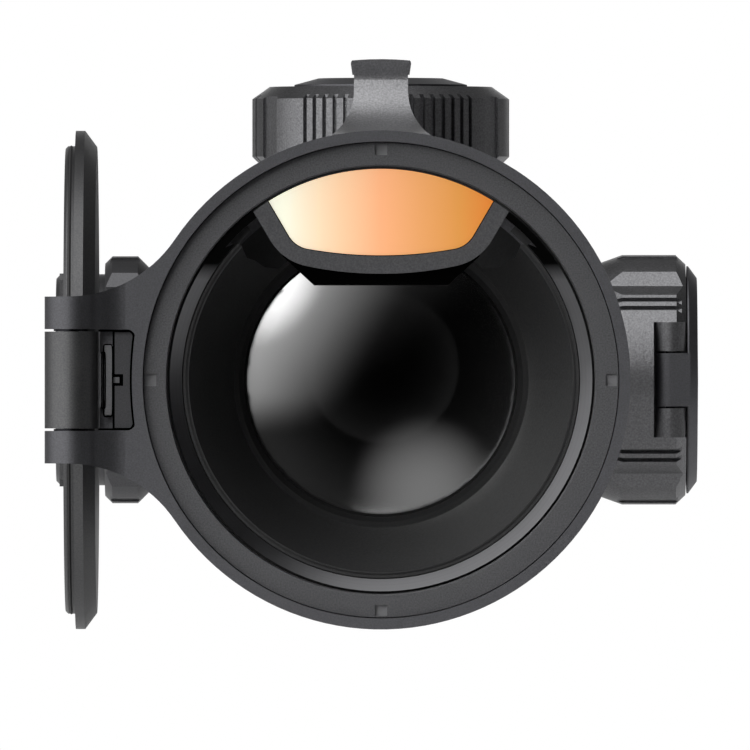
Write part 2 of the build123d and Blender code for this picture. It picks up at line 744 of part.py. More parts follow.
def focus_lever(bore):
    """Thumb lever: a scooped ramp that flares out of the ring and ends in a lip."""
    start, end = front_y + lever_start, front_y + lever_end
    base = focus_ring_radius
    lip = start + 15.0
    crown = lever_top + 1
    ramp = Bezier((start, base), (start + 9, base + 0.4), (lip - 1.2, base + 3.5), (lip, lever_tip_z - 0.8))
    nose_pull = [(lip + 0.1, lever_tip_z + 0.4), (lip - 1.4, lever_top - 1)]
    nose = Bezier((lip, lever_tip_z - 0.8), *nose_pull, (lip - 1.2, crown))
    top = lip + 4.2
    crest = Polyline((lip - 1.2, crown), (top, crown), (top, lever_top - 1.6))
    back = Bezier((top, lever_top - 1.6), (top + 0.5, base + 6), (end - 4, base + 1.5), (end, base))
    under = Polyline((end, base), (end, bore - 2), (start, bore - 2), (start, base))
    side = make_face(Wire([*ramp.edges(), *nose.edges(), *crest.edges(), *back.edges(), *under.edges()]))
    flare_x = lever_neck_half + lever_flare
    low = lever_neck_z - lever_flare
    face = Pos(0, low) * Rectangle(2 * flare_x, lever_flare, align=(Align.CENTER, Align.MIN))
    for sign in (1, -1):
        face -= Pos(sign * flare_x, lever_neck_z) * Circle(lever_flare)
    neck = (2 * lever_neck_half, lever_tip_z - lever_neck_z + 0.02)
    face += Pos(0, lever_neck_z - 0.01) * Rectangle(*neck, align=(Align.CENTER, Align.MIN))
    foot, tip = lever_neck_half + 0.25, lever_tip_half
    corners = [(-foot, lever_tip_z), (foot, lever_tip_z), (tip, lever_top), (-tip, lever_top)]
    lip_face = make_face(Polyline(*corners, close=True))
    face += fillet([v for v in lip_face.vertices() if v.Y > lever_tip_z + 1], 0.7)
    return along_x(side, -20, 20) & along_y(face, start, end) & tube_along_y(lever_top, bore, start, end)


def focus_pin():
    """Pin from the focusing ring through the bell and the guide into the cell's groove."""
    return drive_pin(cell_radius - groove_depth + 0.3, focus_ring_radius - 0.3, front_y + pin_depth)


def bell_outline(inset, front, back):
    """Solid inside the bell's ogee set in by inset, between two depths."""
    taper = taper_depth
    collar = bell_length - collar_length
    collar_radius = tube_radius + socket_wall
    rise = 0.42 * (collar - taper)
    wide, narrow = shoulder_radius - inset, collar_radius - inset
    ogee = Bezier((wide, taper), (wide, taper + rise), (narrow, collar - rise), (narrow, collar))
    before = Polyline((0, front), (wide, front), (wide, taper))
    after = Polyline((narrow, collar), (narrow, back), (0, back), (0, front))
    wire = Wire([*before.edges(), *ogee.edges(), *after.edges()])
    return Pos(0, front_y, 0) * revolve(make_face(wire), Axis.Y)


def objective_housing():
    """Bell casting: tube under the focusing ring, shoulder, and an ogee down to the collar."""
    shoulder = focus_end + seam_gap
    edge = 0.6
    body = bell_outline(0, shoulder, bell_length)
    corner = [(shoulder_radius - edge, shoulder), (shoulder_radius, shoulder + edge)]
    body &= turned([(0, shoulder), *corner, (shoulder_radius, bell_length), (0, bell_length)], front_y)
    body += tube_along_y(bell_tube_radius, 0, front_y + bell_front, front_y + shoulder)
    line_y = front_y + taper_depth - 2.4
    body -= tube_along_y(shoulder_radius + 1, shoulder_radius - 0.8, line_y, line_y + 1.2)
    step_radius = bore_radius - seat_step
    body -= tube_along_y(bore_radius, 0, front_y, front_y + guide_seat)
    body -= tube_along_y(step_radius, 0, front_y, front_y + shoulder + 1)
    body -= bell_outline(housing_wall + 1.5, shoulder, sensor_start) & tube_along_y(
        2 * shoulder_radius, 0, front_y + shoulder, front_y + sensor_start
    )
    stop = bell_length - socket_depth
    stack = [(0, sensor_start - 1), (sensor_radius, sensor_start - 1), (sensor_radius, sensor_end)]
    stack += [(tube_bore + 0.2, sensor_end), (tube_bore + 0.2, stop), (tube_radius + fit_gap, stop)]
    body -= turned([*stack, (tube_radius + fit_gap, bell_length + 1), (0, bell_length + 1)], front_y)
    width = 2 * (pin_radius + 0.25)
    body -= drive_slot(step_radius - 1, bell_tube_radius + 1, focus_turn + 6, width, front_y + pin_depth)
    return body - [place * grub_hole() for place in grub_places(bell_end_y - 5)]


# ------------------------------------------------------------------ lens cap
def closed_to_open(shape):
    """Turns a piece of the cap from its closed place on the rim to its folded place beside the bell."""
    return Pos(hinge_x, front_y, 0) * Rot(0, 0, 90) * Pos(-hinge_x, -front_y, 0) * shape


def lens_cap():
    """Cap with a domed bevelled face, a plug rim and the middle knuckle of the hinge."""
    inner = -cap_seat_gap
    bevel_depth = cap_thickness - cap_dome
    face = cap_radius - cap_bevel
    dome = (face**2 + cap_dome**2) / (2 * cap_dome)
    plug = rim_radius - seam_gap
    edge = 0.4
    outline = [(0, inner - 1.0), (plug - cap_plug_wall, inner - 1.0), (plug - cap_plug_wall, cap_plug)]
    outline += [(plug - edge, cap_plug), (plug, cap_plug - edge), (plug, inner), (cap_radius, inner)]
    outline += [(cap_radius, -cap_edge), (face, -bevel_depth)]
    crown = RadiusArc((0, -cap_thickness), (face, -bevel_depth), dome)
    rim = Polyline((0, -cap_thickness), *outline)
    disc = revolve(make_face(Wire([*rim.edges(), *crown.edges()])), Axis.Y)
    for radius in (plug * 0.75, plug * 0.5):
        disc += turned([(radius - 0.8, -1.3), (radius, -1.3), (radius, -0.6), (radius - 0.8, -0.6)])
    low, high = cap_seal_groove
    disc -= turned([(plug - 0.5, low), (plug + 1, low), (plug + 1, high), (plug - 0.5, high)])
    along, stand, across = cap_pad
    pad = Box(along, stand - inner + 1, across, align=(Align.MIN, Align.MAX, Align.CENTER))
    pad = chamfer(pad.edges().filter_by(Axis.Y), 1.0)
    disc += Pos(hinge_x + cap_pad_start, stand, 0) * pad
    reach = face - 1.0
    plate = (-hinge_x - reach, cap_thickness + inner, 2 * knuckle_half)
    arm = Pos(hinge_x, inner, 0) * Box(*plate, align=(Align.MIN, Align.MAX, Align.CENTER))
    knuckle = Pos(hinge_x, 0, 0) * Cylinder(knuckle_radius, 2 * knuckle_half)
    hole = Pos(hinge_x, 0, 0) * Cylinder(hinge_pin_radius + slide_gap, 40)
    cap = disc + arm + knuckle - hole
    return closed_to_open(Pos(0, front_y, 0) * cap)


def lens_cap_seal():
    """Rubber band in the groove of the cap's plug."""
    plug = rim_radius - seam_gap
    low, high = cap_seal_groove
    outer = [(plug - 0.05, low), (plug + 0.12, (low + high) / 2), (plug - 0.05, high)]
    return closed_to_open(turned([(plug - 0.5, low), *outer, (plug - 0.5, high)], front_y))


def boss(height):
    """Turret boss about Z with a chamfered foot where it leaves the barrel."""
    foot = barrel_flat + 1
    outline = [(0, 0), (boss_radius + boss_foot, 0), (boss_radius + boss_foot, foot)]
    return spun([*outline, (boss_radius, foot + boss_foot), (boss_radius, height), (0, height)])


# ------------------------------------------------------------------ main body
def main_body():
    """Saddle between the two tubes: barrel, turret bosses, battery pocket and cell pocket."""
    flats = RegularPolygon(barrel_flat, 8, major_radius=False, rotation=22.5)
    barrel = along_y(flats, saddle_start, saddle_end)
    end_radius = tube_radius + 1.5
    nose = [(0, 0), (end_radius, 0), (barrel_corner, barrel_cone)]
    tail = [(barrel_corner, saddle_length - barrel_cone), (end_radius, saddle_length), (0, saddle_length)]
    body = barrel & turned([*nose, *tail], saddle_start)
    top_roof = top_cap_top - top_cap_roof - 0.6
    side_roof = side_cap_top - side_cap_roof - 0.6
    body += facing_up(boss(boss_top_z) + Cylinder(top_neck_radius, top_roof, align=standing))
    body += facing_right(boss(boss_side_x) + Cylinder(side_neck_radius, side_roof, align=standing))
    body += facing_left(boss(boss_side_x))
    room = pocket_radius + 3
    body -= tube_along_y(tube_bore, 0, saddle_start, saddle_mid - room)
    body -= tube_along_y(tube_bore, 0, saddle_mid + room, saddle_end)
    socket = tube_radius + fit_gap
    body -= tube_along_y(socket, 0, saddle_start - 1, saddle_start + saddle_socket)
    body -= tube_along_y(socket, 0, saddle_end - saddle_socket, saddle_end + 1)
    beyond = 2 * side_cap_top
    body -= facing_right(Pos(0, 0, pocket_floor_x) * Cylinder(pocket_radius, beyond, align=standing))
    body -= facing_up(Pos(0, 0, cell_pocket_floor) * Cylinder(cell_can_radius + 0.4, beyond, align=standing))
    body -= facing_left(Pos(0, 0, encoder_floor) * Cylinder(encoder_radius, beyond, align=standing))
    groove = ring_groove(side_neck_radius - 0.8, side_neck_radius + 1, side_cap_base + 5, 1.6)
    return body - facing_right(groove)


def ring_tubes():
    """The two plain tubes that the mounting rings clamp, each seated in the saddle."""
    front = tube_along_y(tube_radius, tube_bore, tube_front_y, saddle_start + saddle_socket)
    return Part() + [front, tube_along_y(tube_radius, tube_bore, saddle_end - saddle_socket, tube_rear_y)]


def battery_seal():
    """O-ring in the neck of the battery bay."""
    section = Plane.XZ * Pos(side_neck_radius - 0.1, side_cap_base + 5) * Circle(0.7)
    return facing_right(revolve(section, Axis.Z) & Cylinder(side_neck_radius + 0.02, 200))


# ------------------------------------------------------------------ top turret
def top_cap():
    """Screw cap over the built-in cell, with three groups of fine grooves."""
    front = 270 + 4
    outline = Circle(top_cap_radius) - grooves(top_cap_radius, grip_groove, grip_angles(front))
    outline -= grooves(top_cap_radius, (4.4, 0.5), [front - 64 + 120 * k for k in range(3)])
    bevel_in, bevel_down = top_cap_bevel
    radius = top_cap_radius + 0.01
    low = [(0, top_cap_base), (radius - 1, top_cap_base), (radius, top_cap_base + 1)]
    high = [(radius, top_cap_top - bevel_down), (radius - bevel_in, top_cap_top), (0, top_cap_top)]
    cap = Pos(0, 0, top_cap_base) * extrude(outline, top_cap_top - top_cap_base) & spun([*low, *high])
    bore = top_neck_radius + slide_gap
    roof = top_cap_top - top_cap_roof
    cap -= Cylinder(bore, roof, align=standing)
    cap -= ring_groove(bore - 1, bore + 1.1, roof - 3, 1.8)
    return facing_up(cap - Pos(0, 0, top_cap_top - 0.6) * Cylinder(top_plate_radius, 10, align=standing))


def top_cap_plate():
    """Raised round plate let into the top cap."""
    side = top_cap_top + 0.35
    top = top_cap_top + top_plate_height
    outline = [(0, top_cap_top - 0.6), (top_plate_radius - fit_gap, top_cap_top - 0.6)]
    outline += [(top_plate_radius - fit_gap, side), (top_plate_face, top), (0, top)]
    return facing_up(spun(outline))


def top_cap_seal():
    """O-ring that rides up and down with the top cap."""
    height = top_cap_top - top_cap_roof - 3
    section = Plane.XZ * Pos(top_neck_radius + slide_gap + 0.55, height) * Circle(0.5)
    return facing_up(revolve(section, Axis.Z))


def builtin_cell():
    """Built-in rechargeable cell under the top cap."""
    bottom = cell_pocket_floor
    top = bottom + cell_can_length
    radius = cell_can_radius
    low = [(0, bottom), (radius - 0.8, bottom), (radius, bottom + 0.8)]
    high = [(radius, top - 0.8), (radius - 0.8, top), (4.0, top), (4.0, top + 0.9), (0, top + 0.9)]
    return facing_up(spun([*low, *high]))


# ------------------------------------------------------------------ battery bay
def lever_pivot():
    """(distance towards the objective, distance from the axis) of the folding lever's pivot."""
    return side_cap_radius - pivot_in, side_cap_top - pivot_down


def battery_cap():
    """Bayonet cap with finger recesses, paired grooves and a window for the folding lever."""
    outline = side_grip(side_cap_radius)
    radius = side_cap_radius + 0.01
    low = [(0, side_cap_base), (radius - 1.4, side_cap_base), (radius, side_cap_bevel_end)]
    high = [(radius, side_cap_shoulder), (radius - 1.5, side_cap_top), (0, side_cap_top)]
    cap = Pos(0, 0, side_cap_base) * extrude(outline, side_cap_top - side_cap_base) & spun([*low, *high])
    front, height = lever_pivot()
    window = Box(2 * lever_window_half, 30, 30, align=(Align.CENTER, Align.MAX, Align.MIN))
    cap -= Pos(0, pivot_knuckle + seam_gap - front, height - pivot_knuckle - seam_gap) * window
    cap -= Cylinder(side_neck_radius + slide_gap, side_cap_top - side_cap_roof, align=standing)
    tongue_room = 2 * (lever_tongue_half + seam_gap)
    pivot = Pos(0, -front, height)
    lugs = Rot(0, 90, 0) * Cylinder(pivot_knuckle, 2 * lever_window_half)
    strut = (2 * lever_window_half, pivot_knuckle + 0.6, pivot_knuckle)
    lugs += Box(*strut, align=(Align.CENTER, Align.MIN, Align.MAX))
    cap += pivot * (lugs - Box(tongue_room, 4 * pivot_knuckle, 4 * pivot_knuckle))
    pin_hole = Rot(0, 90, 0) * Cylinder(pivot_pin_radius + fit_gap, 2 * lever_window_half - 1.6)
    return facing_right(cap - pivot * pin_hole)


def battery_lever():
    """Folding lever: a round plate on the cap's face with a tongue that wraps the pivot."""
    front, height = lever_pivot()
    base = side_cap_top + lever_plate_gap
    top = base + lever_plate_thickness
    outline = [(0, base), (lever_plate_radius, base), (lever_plate_radius, base + 0.25)]
    plate = spun([*outline, (lever_plate_face, top - 0.25), (0, top)])
    plate -= Pos(0, 2, top - 0.9) * extrude(SlotOverall(16, 6.5), 4)
    width = 2 * lever_tongue_half
    stem = Box(width, 2 * pivot_knuckle, base - height + 0.4, align=standing)
    tongue = Rot(0, 90, 0) * Cylinder(pivot_knuckle, width) + stem
    hole = Rot(0, 90, 0) * Cylinder(pivot_pin_radius + slide_gap, 40)
    trim = Box(60, 20, 10, align=(Align.CENTER, Align.MAX, Align.MIN))
    cut = hole + Pos(0, -pivot_knuckle, base - height - 1) * trim
    pivot = Pos(0, -front, height)
    return facing_right(plate + pivot * tongue - pivot * cut)


def battery_lever_pin():
    """Pin of the folding lever."""
    front, height = lever_pivot()
    pin = Rot(0, 90, 0) * Cylinder(pivot_pin_radius, 2 * lever_window_half - 1.8)
    return facing_right(Pos(0, -front, height) * pin)


def battery_pack():
    """Exchangeable battery with a sleeve groove and a contact stud."""
    bottom = pocket_floor_x + contact_height
    top = bottom + pack_length
    radius = pack_radius
    lower = [(0, bottom), (radius - 0.8, bottom), (radius, bottom + 0.8), (radius, top - 4)]
    groove = [(radius - 0.5, top - 4), (radius - 0.5, top - 2.5), (radius, top - 2.5)]
    return facing_right(spun([*lower, *groove, (radius, top - 0.8), (radius - 0.8, top), (0, top)]))


def contact_spring():
    """Coil spring on the battery bay's floor, ground flat at both ends."""
    wire = 0.45
    path = Helix(pitch=1.5, height=contact_height, radius=4.2)
    coil = sweep(Plane(origin=path @ 0, z_dir=path % 0) * Circle(wire), path=path, is_frenet=True)
    ground = Cylinder(12, contact_height - 0.1, align=standing)
    return facing_right(Pos(0, 0, pocket_floor_x) * (coil & ground))


# ------------------------------------------------------------------ control knob
def control_knob():
    """Control wheel with the battery cap's grip and a smaller crown outside."""
    outline = side_grip(knob_radius)
    radius = knob_radius + 0.01
    rim = 1.9
    low = [(0, knob_inner_x), (radius - rim, knob_inner_x), (radius, knob_inner_x + rim)]
    high = [(radius, knob_shoulder_x - 1.2), (radius - 1.2, knob_shoulder_x), (0, knob_shoulder_x)]
    wheel = Pos(0, 0, knob_inner_x) * extrude(outline, knob_shoulder_x - knob_inner_x) & spun([*low, *high])
    wide, foot, top = knob_cap_radius, knob_shoulder_x - 1, knob_outer_x
    crown = [(0, foot), (wide, foot), (wide, top - 0.7), (wide - 0.7, top)]
    dish = [(wide - 4, top), (wide - 4.8, top - 0.6), (0, top - 0.6)]
    knob = wheel + spun([*crown, *dish])
    hollow = knob_cap_radius - knob_wall
    roof = knob_outer_x - knob_web
    hub = shaft_radius + 2.4
    knob -= spun([(hub, 0), (hollow, 0), (hollow, roof), (hub, roof)])
    return facing_left(knob - Cylinder(shaft_radius + fit_gap, roof, align=standing))


def control_shaft():
    """Shaft that carries the knob and turns the encoder, with a shoulder each side of its thrust collar."""
    roof = knob_outer_x - knob_web
    inner = encoder_floor + encoder_base + knob_travel + seam_gap
    shoulder = shaft_radius + 1.2
    low, high = collar_start, collar_start + collar_thickness
    end = [(0, inner), (shaft_radius - 0.6, inner), (shaft_radius, inner + 0.6), (shaft_radius, low - 0.5)]
    inside = [(shoulder, low - 0.5), (shoulder, low), (shaft_radius, low), (shaft_radius, high)]
    outside = [(shoulder, high), (shoulder, high + 0.7), (shaft_radius, high + 0.7)]
    return facing_left(spun([*end, *inside, *outside, (shaft_radius, roof), (0, roof)]))


def thrust_collar():
    """Collar that lets the shaft turn in it and carries the push of the knob."""
    collar = Cylinder(encoder_radius - slide_gap, collar_thickness, align=standing)
    collar -= Pos(0, 0, -1) * Cylinder(shaft_radius + slide_gap, 20, align=standing)
    return facing_left(Pos(0, 0, collar_start) * collar)


def return_spring():
    """Wave washer that pushes the knob back out, drawn pressed flat."""
    low = encoder_floor + encoder_height
    outline = [(5.2, low), (8.2, low), (8.2, low + 0.4), (5.2, low + 0.4)]
    return facing_left(spun(outline))


def encoder():
    """Rotary encoder on the pocket's floor."""
    body = Circle(encoder_radius - fit_gap) & Rectangle(2 * encoder_radius, encoder_across)
    solid = extrude(body - Circle(shaft_radius + slide_gap), encoder_height)
    solid += extrude(body, encoder_base)
    return facing_left(Pos(0, 0, encoder_floor) * solid)


def knob_bush():
    """Sealed bush that closes the encoder pocket and guides the shaft."""
    low, high = 30.0, boss_side_x + 0.6
    bore, outer = shaft_radius + slide_gap, encoder_radius - fit_gap
    return facing_left(spun([(bore, low), (outer, low), (outer, high), (bore, high)]))


# ------------------------------------------------------------------ electronics in the tube
def thermal_sensor():
    """Infrared sensor package in its round carrier behind the shutter."""
    start = front_y + sensor_start + sensor_layer
    carrier = along_y(Circle(sensor_radius - fit_gap), start, start + 1.5 * sensor_layer)
    return carrier + along_y(RectangleRounded(*sensor_package, 0.6), start - 1.0, start)


def shutter():
    """Calibration shutter in front of the sensor, with its small motor."""
    start = front_y + sensor_start
    plate = along_y(Circle(sensor_radius - fit_gap) - Circle(shutter_opening), start, start + sensor_layer)
    across, high, deep = shutter_motor
    motor = Pos(0, -(sensor_radius + shutter_opening) / 2) * RectangleRounded(across, high, 1)
    return plate + along_y(motor, start - deep, start)


def sensor_board():
    """Circuit board behind the sensor with its connector."""
    start = front_y + sensor_start + 2.5 * sensor_layer
    end = front_y + sensor_end
    board = along_y(Circle(sensor_radius - fit_gap), start, end)
    across, high, deep = sensor_plug
    return board + along_y(RectangleRounded(across, high, 0.5), end, end + deep)


def tube_board(start, end, chips):
    """Circuit board across the tube, with square chips on top."""
    height = -3.0
    middle, length = (start + end) / 2, end - start
    half = math.sqrt(tube_bore**2 - (height - board_thickness / 2) ** 2) - fit_gap
    board = Pos(0, middle, height) * Box(2 * half, length, board_thickness)
    top = height + board_thickness / 2
    for x, share, size in chips:
        board += Pos(x, middle + share * length, top) * Box(size, size, chip_height, align=standing)
    return board


def main_board():
    """Long processor board in the front tube."""
    return tube_board(tube_front_y + 5, saddle_start - 5, main_chips)


def display_board():
    """Driver board in the rear tube."""
    return tube_board(saddle_end + board_end_gap, eyepiece_start - board_end_gap, display_chips)


def display():
    """Small display panel in a round carrier that the eyepiece magnifies."""
    start = eyepiece_start + socket_depth + display_gap
    carrier = along_y(Circle(eyepiece_radius - eyepiece_wall - fit_gap), start, start + 1.8)
    panel = along_y(RectangleRounded(*display_panel, 1), start + 1.8, start + 4.0)
    return carrier + panel - along_y(RectangleRounded(*display_view, 0.5), start + 3.6, start + 5)


# ------------------------------------------------------------------ eyepiece
def eyepiece_housing():
    """Eyepiece casting: flared cone, button deck on top, port underneath, journal behind."""
    collar = tube_radius + socket_wall
    cone = eyepiece_start + 5
    flare = [(0, eyepiece_start), (collar - 0.6, eyepiece_start), (collar, eyepiece_start + 0.6)]
    flare += [(collar, cone), (eyepiece_radius, cone + eyepiece_cone), (eyepiece_radius, journal_start - 0.6)]
    flare += [(eyepiece_radius - 0.6, journal_start), (journal_radius, journal_start)]
    body = turned([*flare, (journal_radius, journal_end), (0, journal_end)])
    body += button_deck(collar, cone)
    wider, longer, stand = port_deck
    across, along, _ = port_cover_size
    deck = extrude(RectangleRounded(across + wider, along + longer, 4), eyepiece_radius / 2)
    body += Pos(0, port_y, -eyepiece_radius - stand) * deck
    inner = eyepiece_radius - eyepiece_wall
    stop = eyepiece_start + socket_depth
    throat = journal_radius - journal_wall
    seat, start = tube_radius + fit_gap, eyepiece_start - 1
    neck = tube_bore + 0.2
    room = [(0, start), (seat, start), (seat, stop), (neck, stop), (neck, stop + 3), (inner, stop + 3)]
    room += [(inner, journal_start - 4), (throat, journal_start - 2), (throat, rear_y), (0, rear_y)]
    body -= turned(room)
    well = Cylinder(button_radius + button_gap, 12)
    body -= [Pos(0, middle, deck_top) * well for middle in button_places()]
    mouth = SlotOverall(port_size[0] + 0.4, port_size[1] + 0.4)
    body -= Pos(0, port_y, recess_floor) * extrude(mouth, port_size[2], both=True)
    body -= cover_pad(0.2, 3)
    body -= cover_axle(across + 2 * (cover_trunnion[1] + 0.2), cover_trunnion[0] + slide_gap)
    width = 2 * (pin_radius + 0.25)
    body -= drive_slot(throat - 1, journal_radius + 1, diopter_turn + 7, width, diopter_pin_y)
    return body - [place * grub_hole() for place in grub_places(eyepiece_start + 2.6)]


def button_deck(collar, cone):
    """Raised deck for the buttons, ramped at both ends."""
    middle = cone + 2 + deck_length / 2
    plan = RectangleRounded(2 * deck_half_width, deck_length, deck_half_width - 0.4)
    front = cone - 1
    profile = [(front, 0), (front, collar + 1.0), (front + 9, deck_top), (journal_start - 3, deck_top)]
    profile += [(journal_start, eyepiece_radius), (journal_start, 0)]
    side = make_face(Polyline(*profile, close=True))
    return Pos(0, middle, 0) * extrude(plan, deck_top) & along_x(side, -20, 20)


def button_places():
    """Y of the three buttons on the deck."""
    middle = eyepiece_start + (eyepiece_length + 9) / 2
    return [middle + button_pitch * k for k in (-1, 0, 1)]


def button(middle, dome):
    """Push button with a domed top and a retaining skirt."""
    low = deck_top - 4.9
    high = deck_top + dome
    side = [(0, low), (button_radius, low), (button_radius, deck_top + 0.5)]
    crown = [(button_radius - 0.5, deck_top + 1.0), (button_radius - 1.8, high), (0, high - 0.2)]
    return Pos(0, middle, 0) * spun([*side, *crown])


def button_board():
    """Switch board under the three buttons, resting along the bore."""
    places = button_places()
    bore = eyepiece_radius - eyepiece_wall
    top = bore - 1.6
    half = math.sqrt(bore**2 - top**2) - fit_gap
    board = Pos(0, places[1], top - board_thickness / 2) * Box(2 * half, switch_board_length, board_thickness)
    return board + [Pos(0, y, top) * Cylinder(1.4, 1.4, align=standing) for y in places]


def cover_pad(clearance, drop):
    """Block for the port's cover and its recess, standing drop below the eyepiece, rounded at the rear."""
    across, along, _ = port_cover_size
    sketch = Rectangle(across + 2 * clearance, along + 2 * clearance)
    sketch = fillet(sketch.vertices().sort_by(Axis.Y)[2:], 3 + clearance)
    low = -eyepiece_radius - drop
    return Pos(0, port_y, low) * extrude(sketch, recess_floor - low)


def cover_axle(length, radius):
    """Round bar across the axis on which the port's cover folds."""
    return Pos(0, cover_axis_y, cover_axis_z) * Rot(0, 90, 0) * Cylinder(radius, length)


def charging_socket():
    """Oval charging socket on its board."""
    across, high, deep = port_size
    shell = extrude(SlotOverall(across, high) - SlotOverall(across - 0.7, high - 0.7), deep)
    back = Pos(0, 0, deep - 1) * extrude(SlotOverall(across, high), 1.0)
    tongue = Pos(0, 0, 1.6) * extrude(Rectangle(across - 3.4, 0.7), deep - 1.6)
    return Pos(0, port_y, recess_floor) * (shell + back + tongue)


def port_board():
    """Board that carries the charging socket, resting along the bore."""
    bore = eyepiece_radius - eyepiece_wall
    low = recess_floor + port_size[2]
    half = math.sqrt(bore**2 - low**2) - fit_gap
    return Pos(0, port_y, low) * Box(2 * half, port_board_length, 1.2, align=standing)


def port_cover():
    """Rubber cover over the charging socket: a rolled front edge with trunnions, a plug and a grip ridge."""
    across, along, thick = port_cover_size
    roll = thick / 2
    keep = Box(across, along, thick, align=(Align.CENTER, Align.MIN, Align.CENTER))
    pad = cover_pad(0, thick) & Pos(0, cover_axis_y, cover_axis_z) * keep
    pad += cover_axle(across, roll) + cover_axle(across + 2 * cover_trunnion[1], cover_trunnion[0])
    plug = extrude(SlotOverall(port_size[0] - 1.2, port_size[1] - 1.6), 1.0)
    ridge = Pos(0, port_y + along / 2 - 3, cover_axis_z - roll) * Box(across / 2, 1.4, 1.4)
    return pad + Pos(0, port_y, cover_axis_z + roll) * plug + ridge


def diopter_ring():
    """Ribbed ring that focuses the eyepiece."""
    bore = journal_radius + slide_gap
    start = journal_start + seam_gap
    end = start + diopter_length
    angles = [360 * k / diopter_rib_count for k in range(diopter_rib_count)]
    ribs = Circle(diopter_radius) - grooves(diopter_radius, (1.7, 0.8), angles)
    edge = 0.7
    radius = diopter_radius + 0.01
    low = [(0, start), (radius - edge, start), (radius, start + edge)]
    high = [(radius, end - edge), (radius - edge, end), (0, end)]
    ring = along_y(ribs - Circle(bore), start, end) & turned([*low, *high])
    return ring - drive_pin(bore - 1, diopter_radius - 1.2, diopter_pin_y)


def diopter_pin():
    """Pin from the diopter ring into the ocular cell's groove."""
    inner = journal_radius - journal_wall - slide_gap
    return drive_pin(inner - groove_depth + 0.3, diopter_radius - 1.2, diopter_pin_y)


def ocular_cell():
    """Sliding cell that carries the two ocular lenses."""
    outer = journal_radius - journal_wall - slide_gap
    start, end = ocular_ends
    wide, narrow = ocular_radius + fit_gap, ocular_radius - 1
    front = [(wide, start), (outer, start), (outer, end), (wide, end), (wide, end - ocular_seat)]
    back = [(narrow, end - ocular_seat), (narrow, start + ocular_seat), (wide, start + ocular_seat)]
    width = 2 * (pin_radius + 0.15)
    groove = helical_slot(outer, diopter_lead, diopter_turn + 6, width, groove_depth, diopter_pin_y)
    return turned([*front, *back]) - groove


def ocular_lenses():
    """Inner and outer ocular lenses."""
    start, end = ocular_ends
    inner = lens(ocular_radius, 60, 45, ocular_edge, start + ocular_seat - ocular_edge)
    outer = lens(ocular_radius, 45, 60, ocular_edge, end - ocular_seat)
    return Part() + [inner, outer]


def ocular_retainers():
    """Threaded rings that hold the two ocular lenses in their cell."""
    start, end = ocular_ends
    rest = ocular_seat - ocular_edge
    outer, inner = ocular_radius, ocular_radius - lens_rim
    front = tube_along_y(outer, inner, start, start + rest)
    return Part() + [front, tube_along_y(outer, inner, end - rest, end)]


def eyecup():
    """Rubber eyecup: round sleeve, two folds and a soft mouth."""
    bore = journal_radius + fit_gap
    sleeve = eyecup_start + eyecup_sleeve
    radius = eyecup_radius
    waist = radius - 1.8
    fold = radius - 0.4
    outer = [(bore, eyecup_start), (fold, eyecup_start), (radius, eyecup_start + 0.4), (radius, sleeve)]
    for start in (sleeve, sleeve + 6):
        outer += [(waist, start + 1.5), (waist, start + 3.5), (fold, start + 5.0), (fold, start + 6.0)]
    mouth = eyecup_mouth_radius
    outer += [(mouth, rear_y - 4), (mouth, rear_y - 1), (mouth - 0.8, rear_y)]
    thin = waist - eyecup_wall
    inner = [(mouth - 2.2, rear_y), (thin, rear_y - 4), (thin, journal_end), (bore, journal_end)]
    return turned(outer + inner)


def grub_places(y):
    """Three places round a collar, with local Z pointing outwards."""
    radius = tube_radius + socket_wall
    return [Pos(0, y, 0) * Rot(0, angle, 0) * Pos(0, 0, radius) for angle in (0, 120, 240)]


def grub_hole():
    """Threaded hole for a grub screw, through the collar."""
    return Cylinder(grub_radius, 2 * socket_wall + 0.02)


def collar_screws():
    """Grub screws that lock the bell and the eyepiece on the tube."""
    length = socket_wall - 0.6
    grub = Pos(0, 0, -socket_wall + 0.02) * Cylinder(grub_radius, length, align=standing)
    grub -= Pos(0, 0, -1.8) * extrude(RegularPolygon(0.55, 6), 2)
    places = [*grub_places(bell_end_y - 5), *grub_places(eyepiece_start + 2.6)]
    return Part() + [place * grub for place in places]


